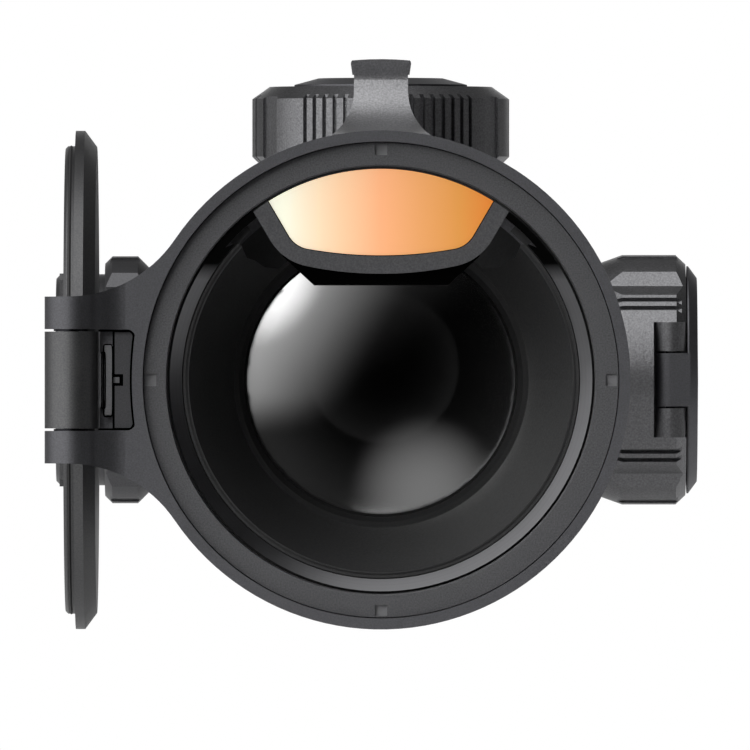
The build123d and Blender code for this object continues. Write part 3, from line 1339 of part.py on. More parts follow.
nodes = {
    "hinge_ring": hinge_ring,
    "hinge_pin": hinge_pin,
    "hinge_washers": hinge_washers,
    "detent_plate": detent_plate,
    "detent_spring": detent_spring,
    "retaining_ring": retaining_ring,
    "bevel_ring": bevel_ring,
    "hood": hood,
    "rangefinder_housing": rangefinder_housing,
    "rangefinder_window": rangefinder_window,
    "rangefinder_module": rangefinder_module,
    "front_lens": front_lens,
    "rear_lens": rear_lens,
    "lens_bezel": lens_bezel,
    "lens_cell": lens_cell,
    "lens_guide": lens_guide,
    "focus_ring": focus_ring,
    "focus_pin": focus_pin,
    "objective_housing": objective_housing,
    "lens_cap": lens_cap,
    "lens_cap_seal": lens_cap_seal,
    "main_body": main_body,
    "ring_tubes": ring_tubes,
    "top_cap": top_cap,
    "top_cap_plate": top_cap_plate,
    "top_cap_seal": top_cap_seal,
    "builtin_cell": builtin_cell,
    "battery_cap": battery_cap,
    "battery_lever": battery_lever,
    "battery_lever_pin": battery_lever_pin,
    "battery_pack": battery_pack,
    "battery_seal": battery_seal,
    "contact_spring": contact_spring,
    "control_knob": control_knob,
    "control_shaft": control_shaft,
    "thrust_collar": thrust_collar,
    "return_spring": return_spring,
    "encoder": encoder,
    "knob_bush": knob_bush,
    "thermal_sensor": thermal_sensor,
    "shutter": shutter,
    "sensor_board": sensor_board,
    "main_board": main_board,
    "display_board": display_board,
    "display": display,
    "eyepiece_housing": eyepiece_housing,
    "power_button": lambda: button(button_places()[0], 1.5),
    "record_button": lambda: button(button_places()[1], 1.2),
    "range_button": lambda: button(button_places()[2], 1.5),
    "button_board": button_board,
    "charging_socket": charging_socket,
    "port_board": port_board,
    "port_cover": port_cover,
    "diopter_ring": diopter_ring,
    "diopter_pin": diopter_pin,
    "ocular_cell": ocular_cell,
    "ocular_lenses": ocular_lenses,
    "ocular_retainers": ocular_retainers,
    "collar_screws": collar_screws,
    "eyecup": eyecup,
}

os.makedirs("parts", exist_ok=True)
for name, make in nodes.items():
    export_step(make(), f"parts/{name}.step")
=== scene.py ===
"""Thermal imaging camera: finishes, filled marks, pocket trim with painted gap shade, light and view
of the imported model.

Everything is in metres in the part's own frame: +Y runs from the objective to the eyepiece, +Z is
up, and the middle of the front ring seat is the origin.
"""

import json
import math

import bpy
import numpy as np
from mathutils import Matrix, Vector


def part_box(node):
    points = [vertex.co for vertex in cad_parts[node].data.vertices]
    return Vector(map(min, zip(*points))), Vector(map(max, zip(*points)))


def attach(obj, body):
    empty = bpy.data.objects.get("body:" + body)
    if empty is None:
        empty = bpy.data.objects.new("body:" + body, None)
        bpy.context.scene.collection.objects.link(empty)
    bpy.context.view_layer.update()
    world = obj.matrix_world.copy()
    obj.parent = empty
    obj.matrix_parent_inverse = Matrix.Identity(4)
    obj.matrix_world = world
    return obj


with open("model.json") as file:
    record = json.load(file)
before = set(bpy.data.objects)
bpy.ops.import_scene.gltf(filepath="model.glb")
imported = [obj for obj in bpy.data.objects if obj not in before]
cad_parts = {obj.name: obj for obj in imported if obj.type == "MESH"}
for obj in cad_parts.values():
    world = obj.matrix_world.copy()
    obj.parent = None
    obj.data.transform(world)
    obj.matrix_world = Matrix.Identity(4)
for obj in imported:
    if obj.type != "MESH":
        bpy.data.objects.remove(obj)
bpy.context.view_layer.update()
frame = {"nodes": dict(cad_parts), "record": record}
scene = bpy.context.scene
mm = 0.001


def linear(code):
    """Linear RGBA of an sRGB hex colour."""
    parts = [int(code[i:i + 2], 16) / 255 for i in (1, 3, 5)]
    return (*[p / 12.92 if p <= 0.04045 else ((p + 0.055) / 1.055) ** 2.4 for p in parts], 1.0)


def add(tree, kind, inputs=None, stops=(), **settings):
    """Adds a shader node with its settings and ramp stops; an input is a value or is linked."""
    node = tree.nodes.new("ShaderNode" + kind)
    for name, value in settings.items():
        setattr(node, name, value)
    for index, (position, code) in enumerate(stops):
        ramp = node.color_ramp.elements
        element = ramp[index] if index < len(ramp) else ramp.new(position)
        element.position, element.color = position, linear(code)
    for key, value in (inputs or {}).items():
        if isinstance(value, bpy.types.Node):
            value = value.outputs[0]
        if isinstance(value, bpy.types.NodeSocket):
            tree.links.new(value, node.inputs[key])
        else:
            node.inputs[key].default_value = value
    return node


def new_material(name):
    """Empty material, its node tree, and the object coordinates of the piece that wears it."""
    material = bpy.data.materials.new(name)
    material.use_nodes = True
    material.node_tree.nodes.clear()
    return material, material.node_tree, add(material.node_tree, "TexCoord").outputs["Object"]


def finish(tree, inputs):
    """Principled shader and the output that end a material."""
    add(tree, "OutputMaterial", {"Surface": add(tree, "BsdfPrincipled", inputs)})


def new_piece(name, points, faces, material):
    """Object at the origin, with its place in its mesh, in one material."""
    mesh = bpy.data.meshes.new(name)
    mesh.from_pydata(points.tolist(), [], faces.tolist())
    mesh.materials.append(material)
    piece = bpy.data.objects.new(name, mesh)
    scene.collection.objects.link(piece)
    return piece


# the middle part of a noise, in which most of its values lie
spread = {"From Min": 0.3, "From Max": 0.7}


# ---------------------------------------------------------------- metals
def blasted_anodised(name, dark, light, rough, grain=0.24 * mm, relief=0.012 * mm, inside=(),
                     inner="#000000"):
    """Aluminium, bead blasted and dyed black; the inner colour where every test of inside holds.

    The blasting leaves pits of about 0.1 mm, drawn coarser so that they show: a dull, even glow
    with a fine sparkle. Clouds of 9 mm vary the gloss, where the dye took differently and hands
    have rubbed.
    """
    material, tree, at = new_material(name)
    pits = add(tree, "TexNoise", {"Vector": at, "Scale": 1 / grain, "Detail": 2.0})
    cloud = add(tree, "TexNoise", {"Vector": at, "Scale": 1 / (9 * mm), "Detail": 3.0})
    even = add(tree, "MapRange", {"Value": pits, **spread})
    shade = add(tree, "ValToRGB", {"Fac": even}, stops=[(0.0, dark), (1.0, light)])
    gloss = add(tree, "MapRange", {"Value": cloud, **spread,
                                   "To Min": rough - 0.03, "To Max": rough + 0.03})
    normal = add(tree, "Bump", {"Height": pits, "Distance": relief})
    if inside:
        place = add(tree, "SeparateXYZ", {"Vector": at})
        within = 1.0
        for axis, test, limit in inside:
            passed = add(tree, "Math", {0: place.outputs[axis], 1: limit}, operation=test)
            within = add(tree, "Math", {0: within, 1: passed}, operation="MULTIPLY")
        shade = add(tree, "Mix", {"Factor": within, "A": shade, "B": linear(inner)},
                    data_type="RGBA").outputs[2]
    finish(tree, {"Base Color": shade, "Metallic": 1.0, "Roughness": gloss, "Normal": normal})
    return material


def turned_metal(name, dark, light, rough, relief, axis=(0.0, 1.0, 0.0), painted_shade_z=None):
    """Metal turned on a lathe; above a height, where one is given, painted near black as shade.

    The tool leaves rings 0.1 mm apart, drawn 0.35 mm apart so that they show: a soft streak of
    light that runs round the axis, broken by faint clouds of 8 mm.
    """
    material, tree, at = new_material(name)
    along = add(tree, "VectorMath", {0: at, 1: axis}, operation="DOT_PRODUCT").outputs["Value"]
    off_axis = add(tree, "VectorMath", {0: at, 1: axis}, operation="CROSS_PRODUCT")
    radius = add(tree, "VectorMath", {0: off_axis}, operation="LENGTH").outputs["Value"]
    turned = add(tree, "CombineXYZ", {"X": radius, "Y": along})
    rings = add(tree, "TexNoise", {"Vector": turned, "Scale": 1 / (0.35 * mm), "Detail": 2.0})
    cloud = add(tree, "TexNoise", {"Vector": at, "Scale": 1 / (8 * mm), "Detail": 3.0})
    even = add(tree, "MapRange", {"Value": rings, **spread})
    shade = add(tree, "ValToRGB", {"Fac": even}, stops=[(0.0, dark), (1.0, light)])
    gloss = add(tree, "MapRange", {"Value": cloud, **spread,
                                   "To Min": rough - 0.04, "To Max": rough + 0.04})
    normal = add(tree, "Bump", {"Height": rings, "Distance": relief})
    # painted shade: near black above the given height
    if painted_shade_z is not None:
        height = add(tree, "SeparateXYZ", {"Vector": at}).outputs["Z"]
        painted_shade_above = add(tree, "MapRange", {"Value": height, "From Min": painted_shade_z,
                                    "From Max": painted_shade_z + 2.5 * mm})
        shade = add(tree, "Mix", {"Factor": painted_shade_above, "A": shade, "B": linear("#0c0c0c")},
                    data_type="RGBA").outputs[2]
    finish(tree, {"Base Color": shade, "Metallic": 1.0, "Roughness": gloss, "Normal": normal})
    return material


def finder_coat():
    """Blasted and dyed aluminium of the rangefinder's frame, with its body behind painted black as
    shade.

    The frame has the bell's dull glow. From its back on, a flat near black is painted as the shade
    over the hood.
    """
    material, tree, at = new_material("blasted_frame_painted_shade_body")
    frame_depth, edge = 1.3 * mm, 0.4 * mm
    frame_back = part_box("rangefinder_housing")[0].y + frame_depth
    depth = add(tree, "SeparateXYZ", {"Vector": at}).outputs["Y"]
    # painted shade: from the frame's back on, the body is near black
    behind = add(tree, "MapRange", {"Value": depth, "From Min": frame_back,
                                    "From Max": frame_back + edge})
    pits = add(tree, "TexNoise", {"Vector": at, "Scale": 1 / (0.24 * mm), "Detail": 2.0})
    even = add(tree, "MapRange", {"Value": pits, **spread})
    coat = add(tree, "ValToRGB", {"Fac": even}, stops=[(0.0, "#565658"), (1.0, "#666668")])
    colour = add(tree, "Mix", {"Factor": behind, "A": coat, "B": linear("#060606")},
                 data_type="RGBA")
    gloss = add(tree, "MapRange", {"Value": behind, "To Min": 0.48, "To Max": 0.8})
    normal = add(tree, "Bump", {"Height": pits, "Distance": 0.01 * mm})
    finish(tree, {"Base Color": colour.outputs[2], "Metallic": 1.0, "Roughness": gloss,
                  "Normal": normal})
    return material


def black_oxide_steel():
    """Steel screws, pins and springs, chemically blackened and oiled: dark, with a broken gloss."""
    material, tree, at = new_material("black_oxide_steel")
    stain = add(tree, "TexNoise", {"Vector": at, "Scale": 1 / (1.5 * mm), "Detail": 4.0})
    even = add(tree, "MapRange", {"Value": stain, **spread})
    shade = add(tree, "ValToRGB", {"Fac": even}, stops=[(0.0, "#2c2c2f"), (1.0, "#3c3c40")])
    gloss = add(tree, "MapRange", {"Value": stain, **spread, "To Min": 0.3, "To Max": 0.42})
    finish(tree, {"Base Color": shade, "Metallic": 1.0, "Roughness": gloss})
    return material


# ---------------------------------------------------------------- plastics, rubber and glass
def moulded(name, dark, light, rough, grain, relief, ior=1.52):
    """Plastic, rubber or foam pressed in a tool with an eroded surface.

    The texture is 0.1 to 0.2 mm, drawn a little coarser so that it shows: a matt skin with tiny
    glints. Clouds of 12 mm shift the colour a little, as skin grease and dust do.
    """
    material, tree, at = new_material(name)
    texture = add(tree, "TexNoise", {"Vector": at, "Scale": 1 / grain, "Detail": 2.0})
    cloud = add(tree, "TexNoise", {"Vector": at, "Scale": 1 / (12 * mm), "Detail": 3.0})
    even = add(tree, "MapRange", {"Value": cloud, **spread})
    shade = add(tree, "ValToRGB", {"Fac": even}, stops=[(0.0, dark), (1.0, light)])
    gloss = add(tree, "MapRange", {"Value": texture, **spread,
                                   "To Min": rough - 0.05, "To Max": rough + 0.05})
    normal = add(tree, "Bump", {"Height": texture, "Distance": relief})
    finish(tree, {"Base Color": shade, "Roughness": gloss, "Normal": normal, "IOR": ior})
    return material


def circuit_board():
    """Glass-epoxy board: green solder mask over copper tracks 1.2 mm apart, and tinned pads."""
    material, tree, at = new_material("glass_epoxy_board")
    tracks = add(tree, "TexVoronoi", {"Vector": at, "Scale": 1 / (1.2 * mm), "Randomness": 0.3},
                 distance="CHEBYCHEV")
    track = add(tree, "MapRange", {"Value": tracks.outputs["Distance"],
                                   "From Min": 0.36, "From Max": 0.42})
    pads = add(tree, "TexVoronoi", {"Vector": at, "Scale": 1 / (2.6 * mm)})
    pad = add(tree, "Math", {0: pads.outputs["Distance"], 1: 0.14}, operation="LESS_THAN")
    mask = add(tree, "Mix", {"Factor": track, "A": linear("#0d4a2a"), "B": linear("#16603a")},
               data_type="RGBA")
    colour = add(tree, "Mix", {"Factor": pad, "A": mask.outputs[2], "B": linear("#b9b7ae")},
                 data_type="RGBA")
    gloss = add(tree, "MapRange", {"Value": pad, "To Min": 0.35, "To Max": 0.25})
    normal = add(tree, "Bump", {"Height": track, "Distance": 0.02 * mm})
    finish(tree, {"Base Color": colour.outputs[2], "Metallic": pad, "Roughness": gloss,
                  "Normal": normal})
    return material


def shrink_wrap():
    """Tinted PVC sleeve shrunk on a lithium cell: thin and glossy, with fine lines of stretch."""
    material, tree, at = new_material("shrink_wrapped_cell")
    stretched = add(tree, "Mapping", {"Vector": at, "Scale": (1.0, 0.15, 0.15)},
                    vector_type="POINT")
    lines = add(tree, "TexNoise", {"Vector": stretched, "Scale": 1 / (0.6 * mm), "Detail": 2.0})
    even = add(tree, "MapRange", {"Value": lines, **spread})
    shade = add(tree, "ValToRGB", {"Fac": even}, stops=[(0.0, "#1d3b63"), (1.0, "#234472")])
    normal = add(tree, "Bump", {"Height": lines, "Distance": 0.01 * mm})
    finish(tree, {"Base Color": shade, "Roughness": 0.28, "Normal": normal, "IOR": 1.54,
                  "Coat Weight": 0.3})
    return material


def coated_germanium():
    """Ground and polished germanium under a hard black infrared coating.

    It lets no visible light through, so the eye sees a black mirror: germanium's high index gives
    strong reflections of the studio, softened a little by the coating's fine matt. Its colour holds
    a painted reflection of faint circles of the barrel and of the next lens, which end at half the
    radius.
    """
    material, tree, at = new_material("coated_germanium")
    haze = add(tree, "TexNoise", {"Vector": at, "Scale": 1 / (6 * mm), "Detail": 2.0})
    gloss = add(tree, "MapRange", {"Value": haze, **spread, "To Min": 0.055, "To Max": 0.07})
    circles_centre, circles_radius = (0.3 * mm, 0.0, 2.0 * mm), 21 * mm
    centred = add(tree, "VectorMath", {0: at, 1: circles_centre}, operation="SUBTRACT")
    flat = add(tree, "VectorMath", {0: centred, 1: (1.0, 0.0, 1.0)}, operation="MULTIPLY")
    radius = add(tree, "VectorMath", {0: flat}, operation="LENGTH").outputs["Value"]
    outward = add(tree, "MapRange", {"Value": radius, "From Max": circles_radius})
    # painted reflection: rings of the barrel and the next lens, dark at the middle and lighter
    # outwards
    barrel = add(tree, "ValToRGB", {"Fac": outward}, stops=[
        (0.0, "#020202"), (0.25, "#0e0e0e"), (0.42, "#222222"), (0.545, "#383838"),
        (0.575, "#161616"), (0.75, "#222222"), (1.0, "#363636")])
    finish(tree, {"Base Color": barrel, "Roughness": gloss, "IOR": 4.0})
    return material


def coated_window_painted_glow():
    """Polished window whose infrared coating shines cream at one side and amber at the other.

    The colour drifts over 36 mm as a painted reflection of the coating. The same colour is also
    given as a weak painted glow.
    """
    material, tree, at = new_material("coated_window_painted_glow")
    half_width, painted_glow = 18 * mm, 0.32
    across = add(tree, "SeparateXYZ", {"Vector": at}).outputs["X"]
    # painted reflection: the colour drifts from cream to amber across the window in x
    painted_reflection_drift = add(tree, "MapRange", {"Value": across, "From Min": -half_width,
                                   "From Max": half_width})
    colour = add(tree, "ValToRGB", {"Fac": painted_reflection_drift}, stops=[
        (0.0, "#fffcea"), (0.083, "#ffffe8"), (0.167, "#ffedcf"), (0.25, "#feddb8"),
        (0.333, "#fdcfa4"), (0.5, "#fbb27f"), (0.667, "#eba465"), (0.833, "#de9648"),
        (1.0, "#df7d29")])
    cloud = add(tree, "TexNoise", {"Vector": at, "Scale": 1 / (5 * mm), "Detail": 2.0})
    gloss = add(tree, "MapRange", {"Value": cloud, **spread, "To Min": 0.29, "To Max": 0.31})
    # painted glow: the window gives off a weak light in its own colour
    finish(tree, {"Base Color": colour, "Roughness": gloss, "Emission Color": colour,
                  "Emission Strength": painted_glow})
    return material


def optical_glass():
    """Polished crown glass of the eyepiece with a faint violet anti-reflection coating."""
    material, tree, at = new_material("polished_optical_glass")
    haze = add(tree, "TexNoise", {"Vector": at, "Scale": 1 / (4 * mm), "Detail": 2.0})
    gloss = add(tree, "MapRange", {"Value": haze, **spread, "To Min": 0.0, "To Max": 0.03})
    finish(tree, {"Base Color": linear("#e8e6f4"), "Roughness": gloss, "IOR": 1.52,
                  "Transmission Weight": 1.0})
    return material


def mark_paint():
    """Pale enamel filled into engraved marks, a little uneven where it was wiped off the metal."""
    material, tree, at = new_material("filled_enamel_marks")
    wiped = add(tree, "TexNoise", {"Vector": at, "Scale": 1 / (0.4 * mm), "Detail": 3.0})
    even = add(tree, "MapRange", {"Value": wiped, **spread})
    shade = add(tree, "ValToRGB", {"Fac": even}, stops=[(0.0, "#b4b4b0"), (1.0, "#d4d4d0")])
    finish(tree, {"Base Color": shade, "Roughness": 0.5, "IOR": 1.5})
    return material


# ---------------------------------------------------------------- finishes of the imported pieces
plate_low, plate_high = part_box("detent_plate")
spring_low, spring_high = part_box("detent_spring")
ring_face_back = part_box("retaining_ring")[0].y + 0.9 * mm
# known fault: the tests have no limit towards +Y, so the outside behind the hinge lug is black
# as well, which shows from behind once the lens cap has swung away
# painted shade: near black on the pocket's floor round the detent plate, where every test holds
pocket_painted_shade = [("X", "GREATER_THAN", plate_low.x - 0.35 * mm),
                ("X", "LESS_THAN", plate_high.x + 0.3 * mm),
                ("Y", "GREATER_THAN", plate_low.y - 0.85 * mm),
                ("Z", "GREATER_THAN", plate_low.z - 0.36 * mm),
                ("Z", "LESS_THAN", plate_high.z + 0.36 * mm)]
spring_coat = blasted_anodised("blasted_detent_spring", "#6c6c6e", "#78787a", 0.45)
cell_black = moulded("blackened_bezel", "#121213", "#161617", 0.65, 0.3 * mm, 0.01 * mm)

# by material slot
finishes = {
    "bell_coat": blasted_anodised("blasted_anodised_aluminium", "#5a5a5c", "#66666a", 0.48),
    "body_coat": blasted_anodised("blasted_anodised_body", "#5a5a5c", "#66666a", 0.48),
    "ring_coat": blasted_anodised("blasted_face_ring", "#58585a", "#6c6c6e", 0.48,
                                  relief=0.014 * mm, inner="#8a8a8c",
                                  inside=[("Y", "GREATER_THAN", ring_face_back)]),
    # painted shade: the bevel ring is near black above z = 15.5 mm
    "bevel_gloss": turned_metal("turned_bright_bevel", "#7a7a7c", "#828284", 0.33, 0.002 * mm,
                                painted_shade_z=15.5 * mm),
    "hood_black": moulded("moulded_glass_filled_nylon", "#19191a", "#1d1d1e", 0.62,
                          0.35 * mm, 0.04 * mm),
    "finder_plastic": finder_coat(),
    "lever_coat": blasted_anodised("coarse_blasted_ring", "#868688", "#a0a0a2", 0.46,
                                   0.3 * mm, 0.035 * mm),
    "rubber": moulded("moulded_nitrile_rubber", "#222223", "#292929", 0.65, 0.3 * mm, 0.02 * mm),
    "knob_plastic": blasted_anodised("fine_blasted_knob", "#58585a", "#626264", 0.46),
    "cap_plastic": blasted_anodised("fine_blasted_lens_cap", "#5a5a5c", "#686868", 0.46),
    "steel": black_oxide_steel(),
    "board": circuit_board(),
    "chip": moulded("moulded_epoxy_package", "#1a1a1b", "#202022", 0.5, 0.25 * mm, 0.01 * mm,
                    ior=1.55),
    "cell_wrap": shrink_wrap(),
    "brass": turned_metal("turned_nickelled_brass", "#a88a52", "#b8985e", 0.3, 0.003 * mm,
                          axis=(1.0, 0.0, 0.0)),
    "clear_glass": optical_glass(),
    "infrared_glass": coated_germanium(),
    "finder_glass": coated_window_painted_glow(),
}
# by node, where one piece differs from the others in its slot
own_finish = {
    "top_cap": blasted_anodised("coarse_blasted_top_cap", "#68686a", "#828284", 0.38,
                                0.3 * mm, 0.04 * mm),
    "battery_cap": blasted_anodised("coarse_blasted_battery_cap", "#6e6e70", "#868688", 0.4,
                                    0.3 * mm, 0.04 * mm),
    "lens_bezel": cell_black,
    "lens_cell": cell_black,
    # painted shade: the pocket round the detent plate is near black
    "hinge_ring": blasted_anodised("blasted_front_ring_painted_shade_pocket", "#5a5a5c", "#66666a", 0.48,
                                   inside=pocket_painted_shade, inner="#050505"),
    "detent_plate": blasted_anodised("blasted_detent_plate", "#4c4c4e", "#565658", 0.5),
    "detent_spring": spring_coat,
}
slot_of = {part["node"]: part["material_slot"] for part in frame["record"]["subparts"]}
for node, piece in frame["nodes"].items():
    for slot in piece.material_slots:
        slot.material = own_finish.get(node, finishes[slot_of[node]])
# the front lens mirrors the studio unbroken to its edge, and nothing of what stands before it
for node in ("rangefinder_housing", "rangefinder_window", "rangefinder_module", "hood",
             "lens_bezel"):
    frame["nodes"][node].visible_glossy = False


# ---------------------------------------------------------------- filled marks
def curved_bars(name, body, radius, angles, half_width, start, end):
    """Filled marks round the optical axis, all in one mesh.

    Bar i is a patch of a cylinder shell: across it the angle runs from angles[i] - w to
    angles[i] + w with w = half_width / radius, along it y runs from start to end[i], and the
    shell's two skins lie a little below and above the radius. Angles are in degrees, from +X
    towards +Z.
    A bar's points are 5 across, 2 along and 2 skins, so point (a, l, s) has number 4 a + 2 l + s.
    """
    skins = np.array([-0.04, 0.04]) * mm
    across = np.linspace(-1.0, 1.0, 5)[None, :, None, None] * half_width / radius
    theta = np.radians(angles)[:, None, None, None] + across + np.zeros((1, 1, 2, 2))
    ends_y = np.stack([np.full(len(angles), start), np.broadcast_to(end, len(angles))], axis=1)
    y = np.broadcast_to(ends_y[:, None, :, None], theta.shape)
    reach = radius + skins
    points = np.stack([reach * np.cos(theta), y, reach * np.sin(theta)], axis=-1).reshape(-1, 3)
    along = np.array([[1, 3, 7, 5], [0, 4, 6, 2], [0, 1, 5, 4], [2, 6, 7, 3]])
    sides = (4 * np.arange(4)[None, :, None] + along[:, None, :]).reshape(-1, 4)
    one = np.concatenate([sides, [[0, 2, 3, 1], [16, 17, 19, 18]]])
    faces = (20 * np.arange(len(angles))[:, None, None] + one[None]).reshape(-1, 4)
    piece = new_piece(name, points, faces, enamel)
    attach(piece, body)


enamel = mark_paint()
ring_low, ring_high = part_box("focus_ring")
front_low, front_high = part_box("hinge_ring")
index_angle = 145.0
tick_count, swing = 11, 40.0
long_tick, short_tick = 2.6 * mm, 1.6 * mm
tick_start = ring_low.y + 0.6 * mm
tick_end = tick_start + np.where(np.arange(tick_count) % 5 == 0, long_tick, short_tick)
curved_bars("focus_scale", "focus_ring", ring_high.x,
            index_angle + np.linspace(-swing, swing, tick_count), 0.25 * mm, tick_start, tick_end)
curved_bars("focus_index", "body", front_high.x, [index_angle], 0.3 * mm,
            ring_low.y - 4.0 * mm, ring_low.y - 0.9 * mm)


# ---------------------------------------------------------------- painted gap shade and trim in the hinge lug's pocket
def flat_strip(name, path, width, front, back, closed, material):
    """A strip of rectangular section carried along a path in x and z, from y = front to y = back.

    The path's points are the strip's middle; its sides are the path plus and minus half the width
    along the path's normal (dz, -dx) / length, taken by central differences.
    """
    if closed:
        step = np.roll(path, -1, axis=0) - np.roll(path, 1, axis=0)
    else:
        step = np.gradient(path, axis=0)
    length = np.linalg.norm(step, axis=1, keepdims=True)
    normal = np.stack([step[:, 1], -step[:, 0]], axis=1) / length
    side = np.array([0.5, -0.5, -0.5, 0.5])[None, :, None] * width
    flat = path[:, None, :] + side * normal[:, None, :]
    depth = np.broadcast_to([front, front, back, back], flat.shape[:2])
    points = np.stack([flat[..., 0], depth, flat[..., 1]], axis=-1).reshape(-1, 3)
    count = len(path)
    here = np.arange(count if closed else count - 1)[:, None]
    after = (here + 1) % count
    corner, following = np.arange(4)[None, :], np.array([[1, 2, 3, 0]])
    faces = np.stack([4 * here + corner, 4 * after + corner,
                      4 * after + following, 4 * here + following], axis=-1).reshape(-1, 4)
    if not closed:
        last = 4 * (count - 1)
        faces = np.concatenate([faces, [[0, 1, 2, 3], [last + 3, last + 2, last + 1, last]]])
    piece = new_piece(name, points, faces, material)
    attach(piece, "body")


def rounded_loop(centre_x, centre_z, half_x, half_z):
    """The superellipse |x/a|^n + |z/b|^n = 1 of power n = 9, a rectangle with soft corners.

    Point t is x = a cos(t)^(2/n), z = b sin(t)^(2/n), each with the sign of its cosine or sine.
    """
    power, count = 9.0, 48
    t = 2 * math.pi * (np.arange(count) + 0.5) / count
    unit = np.stack([np.cos(t), np.sin(t)], axis=1)
    soft = np.sign(unit) * np.abs(unit) ** (2.0 / power)
    return np.array([centre_x, centre_z]) + np.array([half_x, half_z]) * soft


def pocket_outline(right, waist, high, corner, left):
    """The pocket's edge in x and z, from its lower left end round to its upper left end.

    Its side bows inwards as x = waist + (right - waist) t^2 with t from -1 to 1, its two corners
    are quarter circles, and its upper and lower edges are straight.
    """
    t = np.linspace(-1.0, 1.0, 41)
    straight_z = high - corner
    side = np.stack([waist + (right - waist) * t ** 2, straight_z * t], axis=1)
    turn = np.radians(np.linspace(0.0, 90.0, 13))[1:]
    arc = np.stack([right - corner + corner * np.cos(turn), straight_z + corner * np.sin(turn)],
                   axis=1)
    edge = np.stack([np.linspace(right - corner, left, 5)[1:], np.full(4, high)], axis=1)
    upper = np.concatenate([arc, edge])
    lower = upper[::-1] * np.array([1.0, -1.0])
    return np.concatenate([lower, side, upper])


# black strips in the pocket's gaps are painted shade; an index near that of air keeps them free of
# gloss
painted_gap_shade = moulded("painted_gap_shade_black", "#010101", "#020202", 0.8, 0.3 * mm, 0.01 * mm,
                      ior=1.06)
knuckle_reach = 4.1 * mm
front_y = front_low.y + knuckle_reach
pocket_edge = pocket_outline(plate_high.x - 0.091 * mm, plate_high.x - 0.511 * mm,
                             plate_high.z + 0.23 * mm, 0.95 * mm, spring_low.x - 0.37 * mm)
spring_edge = rounded_loop(spring_low.x + 1.11 * mm, -0.08 * mm, 0.72 * mm, 5.55 * mm)
leaf_edge = rounded_loop(spring_low.x + 0.39 * mm, -0.04 * mm, 0.32 * mm, 4.3 * mm)
leaf_line = np.stack([np.full(9, spring_low.x - 0.17 * mm), np.linspace(-4.2, 4.2, 9) * mm],
                     axis=1)
# painted shade: black strips round the pocket, the spring and the leaf
flat_strip("pocket_gap_shade", pocket_edge, 0.32 * mm, front_y - 0.02 * mm, front_y + 0.9 * mm,
           False, painted_gap_shade)
flat_strip("spring_gap_shade", spring_edge, 0.2 * mm, spring_low.y - 0.06 * mm,
           spring_low.y + 0.4 * mm, True, painted_gap_shade)
flat_strip("leaf_gap_shade", leaf_edge, 0.18 * mm, spring_low.y - 0.1 * mm,
           spring_low.y + 0.4 * mm, True, painted_gap_shade)
flat_strip("spring_leaf", leaf_line, 0.4 * mm, spring_low.y - 0.14 * mm,
           spring_low.y + 0.3 * mm, False, spring_coat)


# ---------------------------------------------------------------- view
view_width = 115.7 * mm
distance = 4.0
camera = bpy.data.cameras.new("camera")
camera.sensor_width = 36.0
camera.lens = camera.sensor_width * distance / view_width
camera.clip_end = 20.0
eye = bpy.data.objects.new("camera", camera)
eye.location = (-0.93 * mm, front_y - distance, 0.77 * mm)
eye.rotation_euler = (math.pi / 2, 0, 0)
scene.collection.objects.link(eye)
scene.camera = eye


# ---------------------------------------------------------------- floor and light
def floor_card():
    """Matt pale card; the camera, gloss and glass see it nearly white, like the backdrop."""
    material, tree, _ = new_material("pale_card")
    lift = 0.3
    ray = add(tree, "LightPath")
    direct = add(tree, "Math", {0: ray.outputs["Is Camera Ray"],
                                1: ray.outputs["Is Transmission Ray"]}, operation="MAXIMUM")
    seen = add(tree, "Math", {0: direct, 1: ray.outputs["Is Glossy Ray"]}, operation="MAXIMUM")
    colour = add(tree, "Mix", {"Factor": seen, "A": linear("#e6e6e6"), "B": linear("#f8f8f8")},
                 data_type="RGBA")
    lifted = add(tree, "Math", {0: direct, 1: lift}, operation="MULTIPLY")
    finish(tree, {"Base Color": colour.outputs[2], "Roughness": 0.9,
                  "Emission Color": linear("#ffffff"), "Emission Strength": lifted})
    return material


# the card ends a little in front of the objective, so that it hides no panel from the front lens
side_x, near_y, far_y, floor_z = 0.9, -0.3, 0.9, -0.075
corners = np.array([(-side_x, near_y, floor_z), (side_x, near_y, floor_z),
                    (side_x, far_y, floor_z), (-side_x, far_y, floor_z)])
floor = new_piece("floor", corners, np.array([[0, 1, 2, 3]]), floor_card())

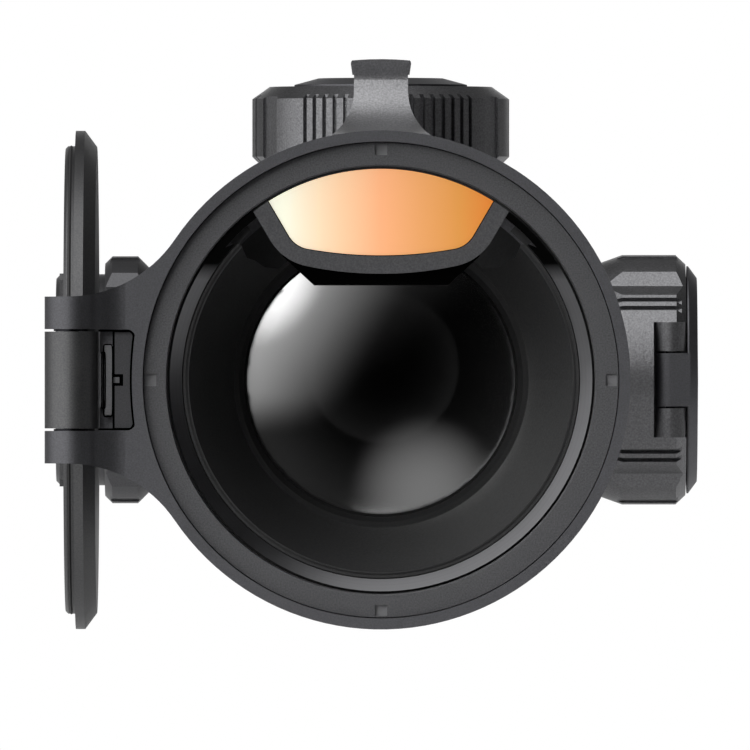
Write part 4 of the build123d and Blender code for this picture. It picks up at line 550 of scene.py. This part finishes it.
# soft panels of the studio, each with its edges and its level; an edge is a direction, the cosine
# to it where the panel starts, and the cosine where the panel is full
panels = {
    "key": ([((-0.864, 0.039, 0.501), 0.0, 0.4), ((0.0, 0.0, 1.0), -0.115, -0.02),
             ((0.0, -1.0, 0.0), -0.35, 0.15)], 1.6),
    "high": ([((-0.45, -0.6, 0.66), 0.6, 1.0)], 0.18),
    "glare": ([((-0.34, -1.0, 0.29), 0.976, 0.993)], 2.8),
    "over": ([((0.0, -0.55, 0.84), 0.75, 1.0)], 0.25),
    "low_spot": ([((0.095, -1.0, -0.24), 0.9865, 1.006)], 0.56),
    "left": ([((-1.0, -0.2, 0.1), 0.5, 1.0)], 0.24),
    "low_left": ([((-0.7, -0.5, -0.5), 0.6, 1.0)], 0.19),
    "behind": ([((0.0, 1.0, 0.0), 0.0, 0.35)], 0.13),
}


def studio_world():
    """White backdrop behind the object, and soft-edged panels that light it and show in gloss."""
    world = bpy.data.worlds.new("studio")
    world.use_nodes = True
    tree = world.node_tree
    tree.nodes.clear()
    ray = add(tree, "LightPath")
    way = add(tree, "TexCoord").outputs["Generated"]
    total = 0.0
    for edges, level in panels.values():
        for direction, start, full in edges:
            towards = tuple(np.array(direction) / np.linalg.norm(direction))
            facing = add(tree, "VectorMath", {0: way, 1: towards},
                         operation="DOT_PRODUCT").outputs["Value"]
            edge = add(tree, "MapRange", {"Value": facing, "From Min": start, "From Max": full},
                       interpolation_type="SMOOTHSTEP")
            level = add(tree, "Math", {0: level, 1: edge}, operation="MULTIPLY")
        total = add(tree, "Math", {0: total, 1: level}, operation="ADD")
    # gloss sees the backdrop only nearly straight behind the object
    card_start, card_full = 0.9, 0.98
    straight_back = add(tree, "SeparateXYZ", {"Vector": way}).outputs["Y"]
    card = add(tree, "MapRange", {"Value": straight_back, "From Min": card_start,
                                  "From Max": card_full})
    mirrored = add(tree, "Math", {0: ray.outputs["Is Glossy Ray"], 1: card}, operation="MULTIPLY")
    direct = add(tree, "Math", {0: ray.outputs["Is Camera Ray"],
                                1: ray.outputs["Is Transmission Ray"]}, operation="MAXIMUM")
    white = add(tree, "Math", {0: direct, 1: mirrored}, operation="MAXIMUM")
    strength = add(tree, "Mix", {"Factor": white, "A": total, "B": 1.0}, data_type="FLOAT")
    shade = add(tree, "Background", {"Color": (1, 1, 1, 1), "Strength": strength})
    add(tree, "OutputWorld", {"Surface": shade})
    scene.world = world


studio_world()
scene.view_settings.view_transform = "Standard"
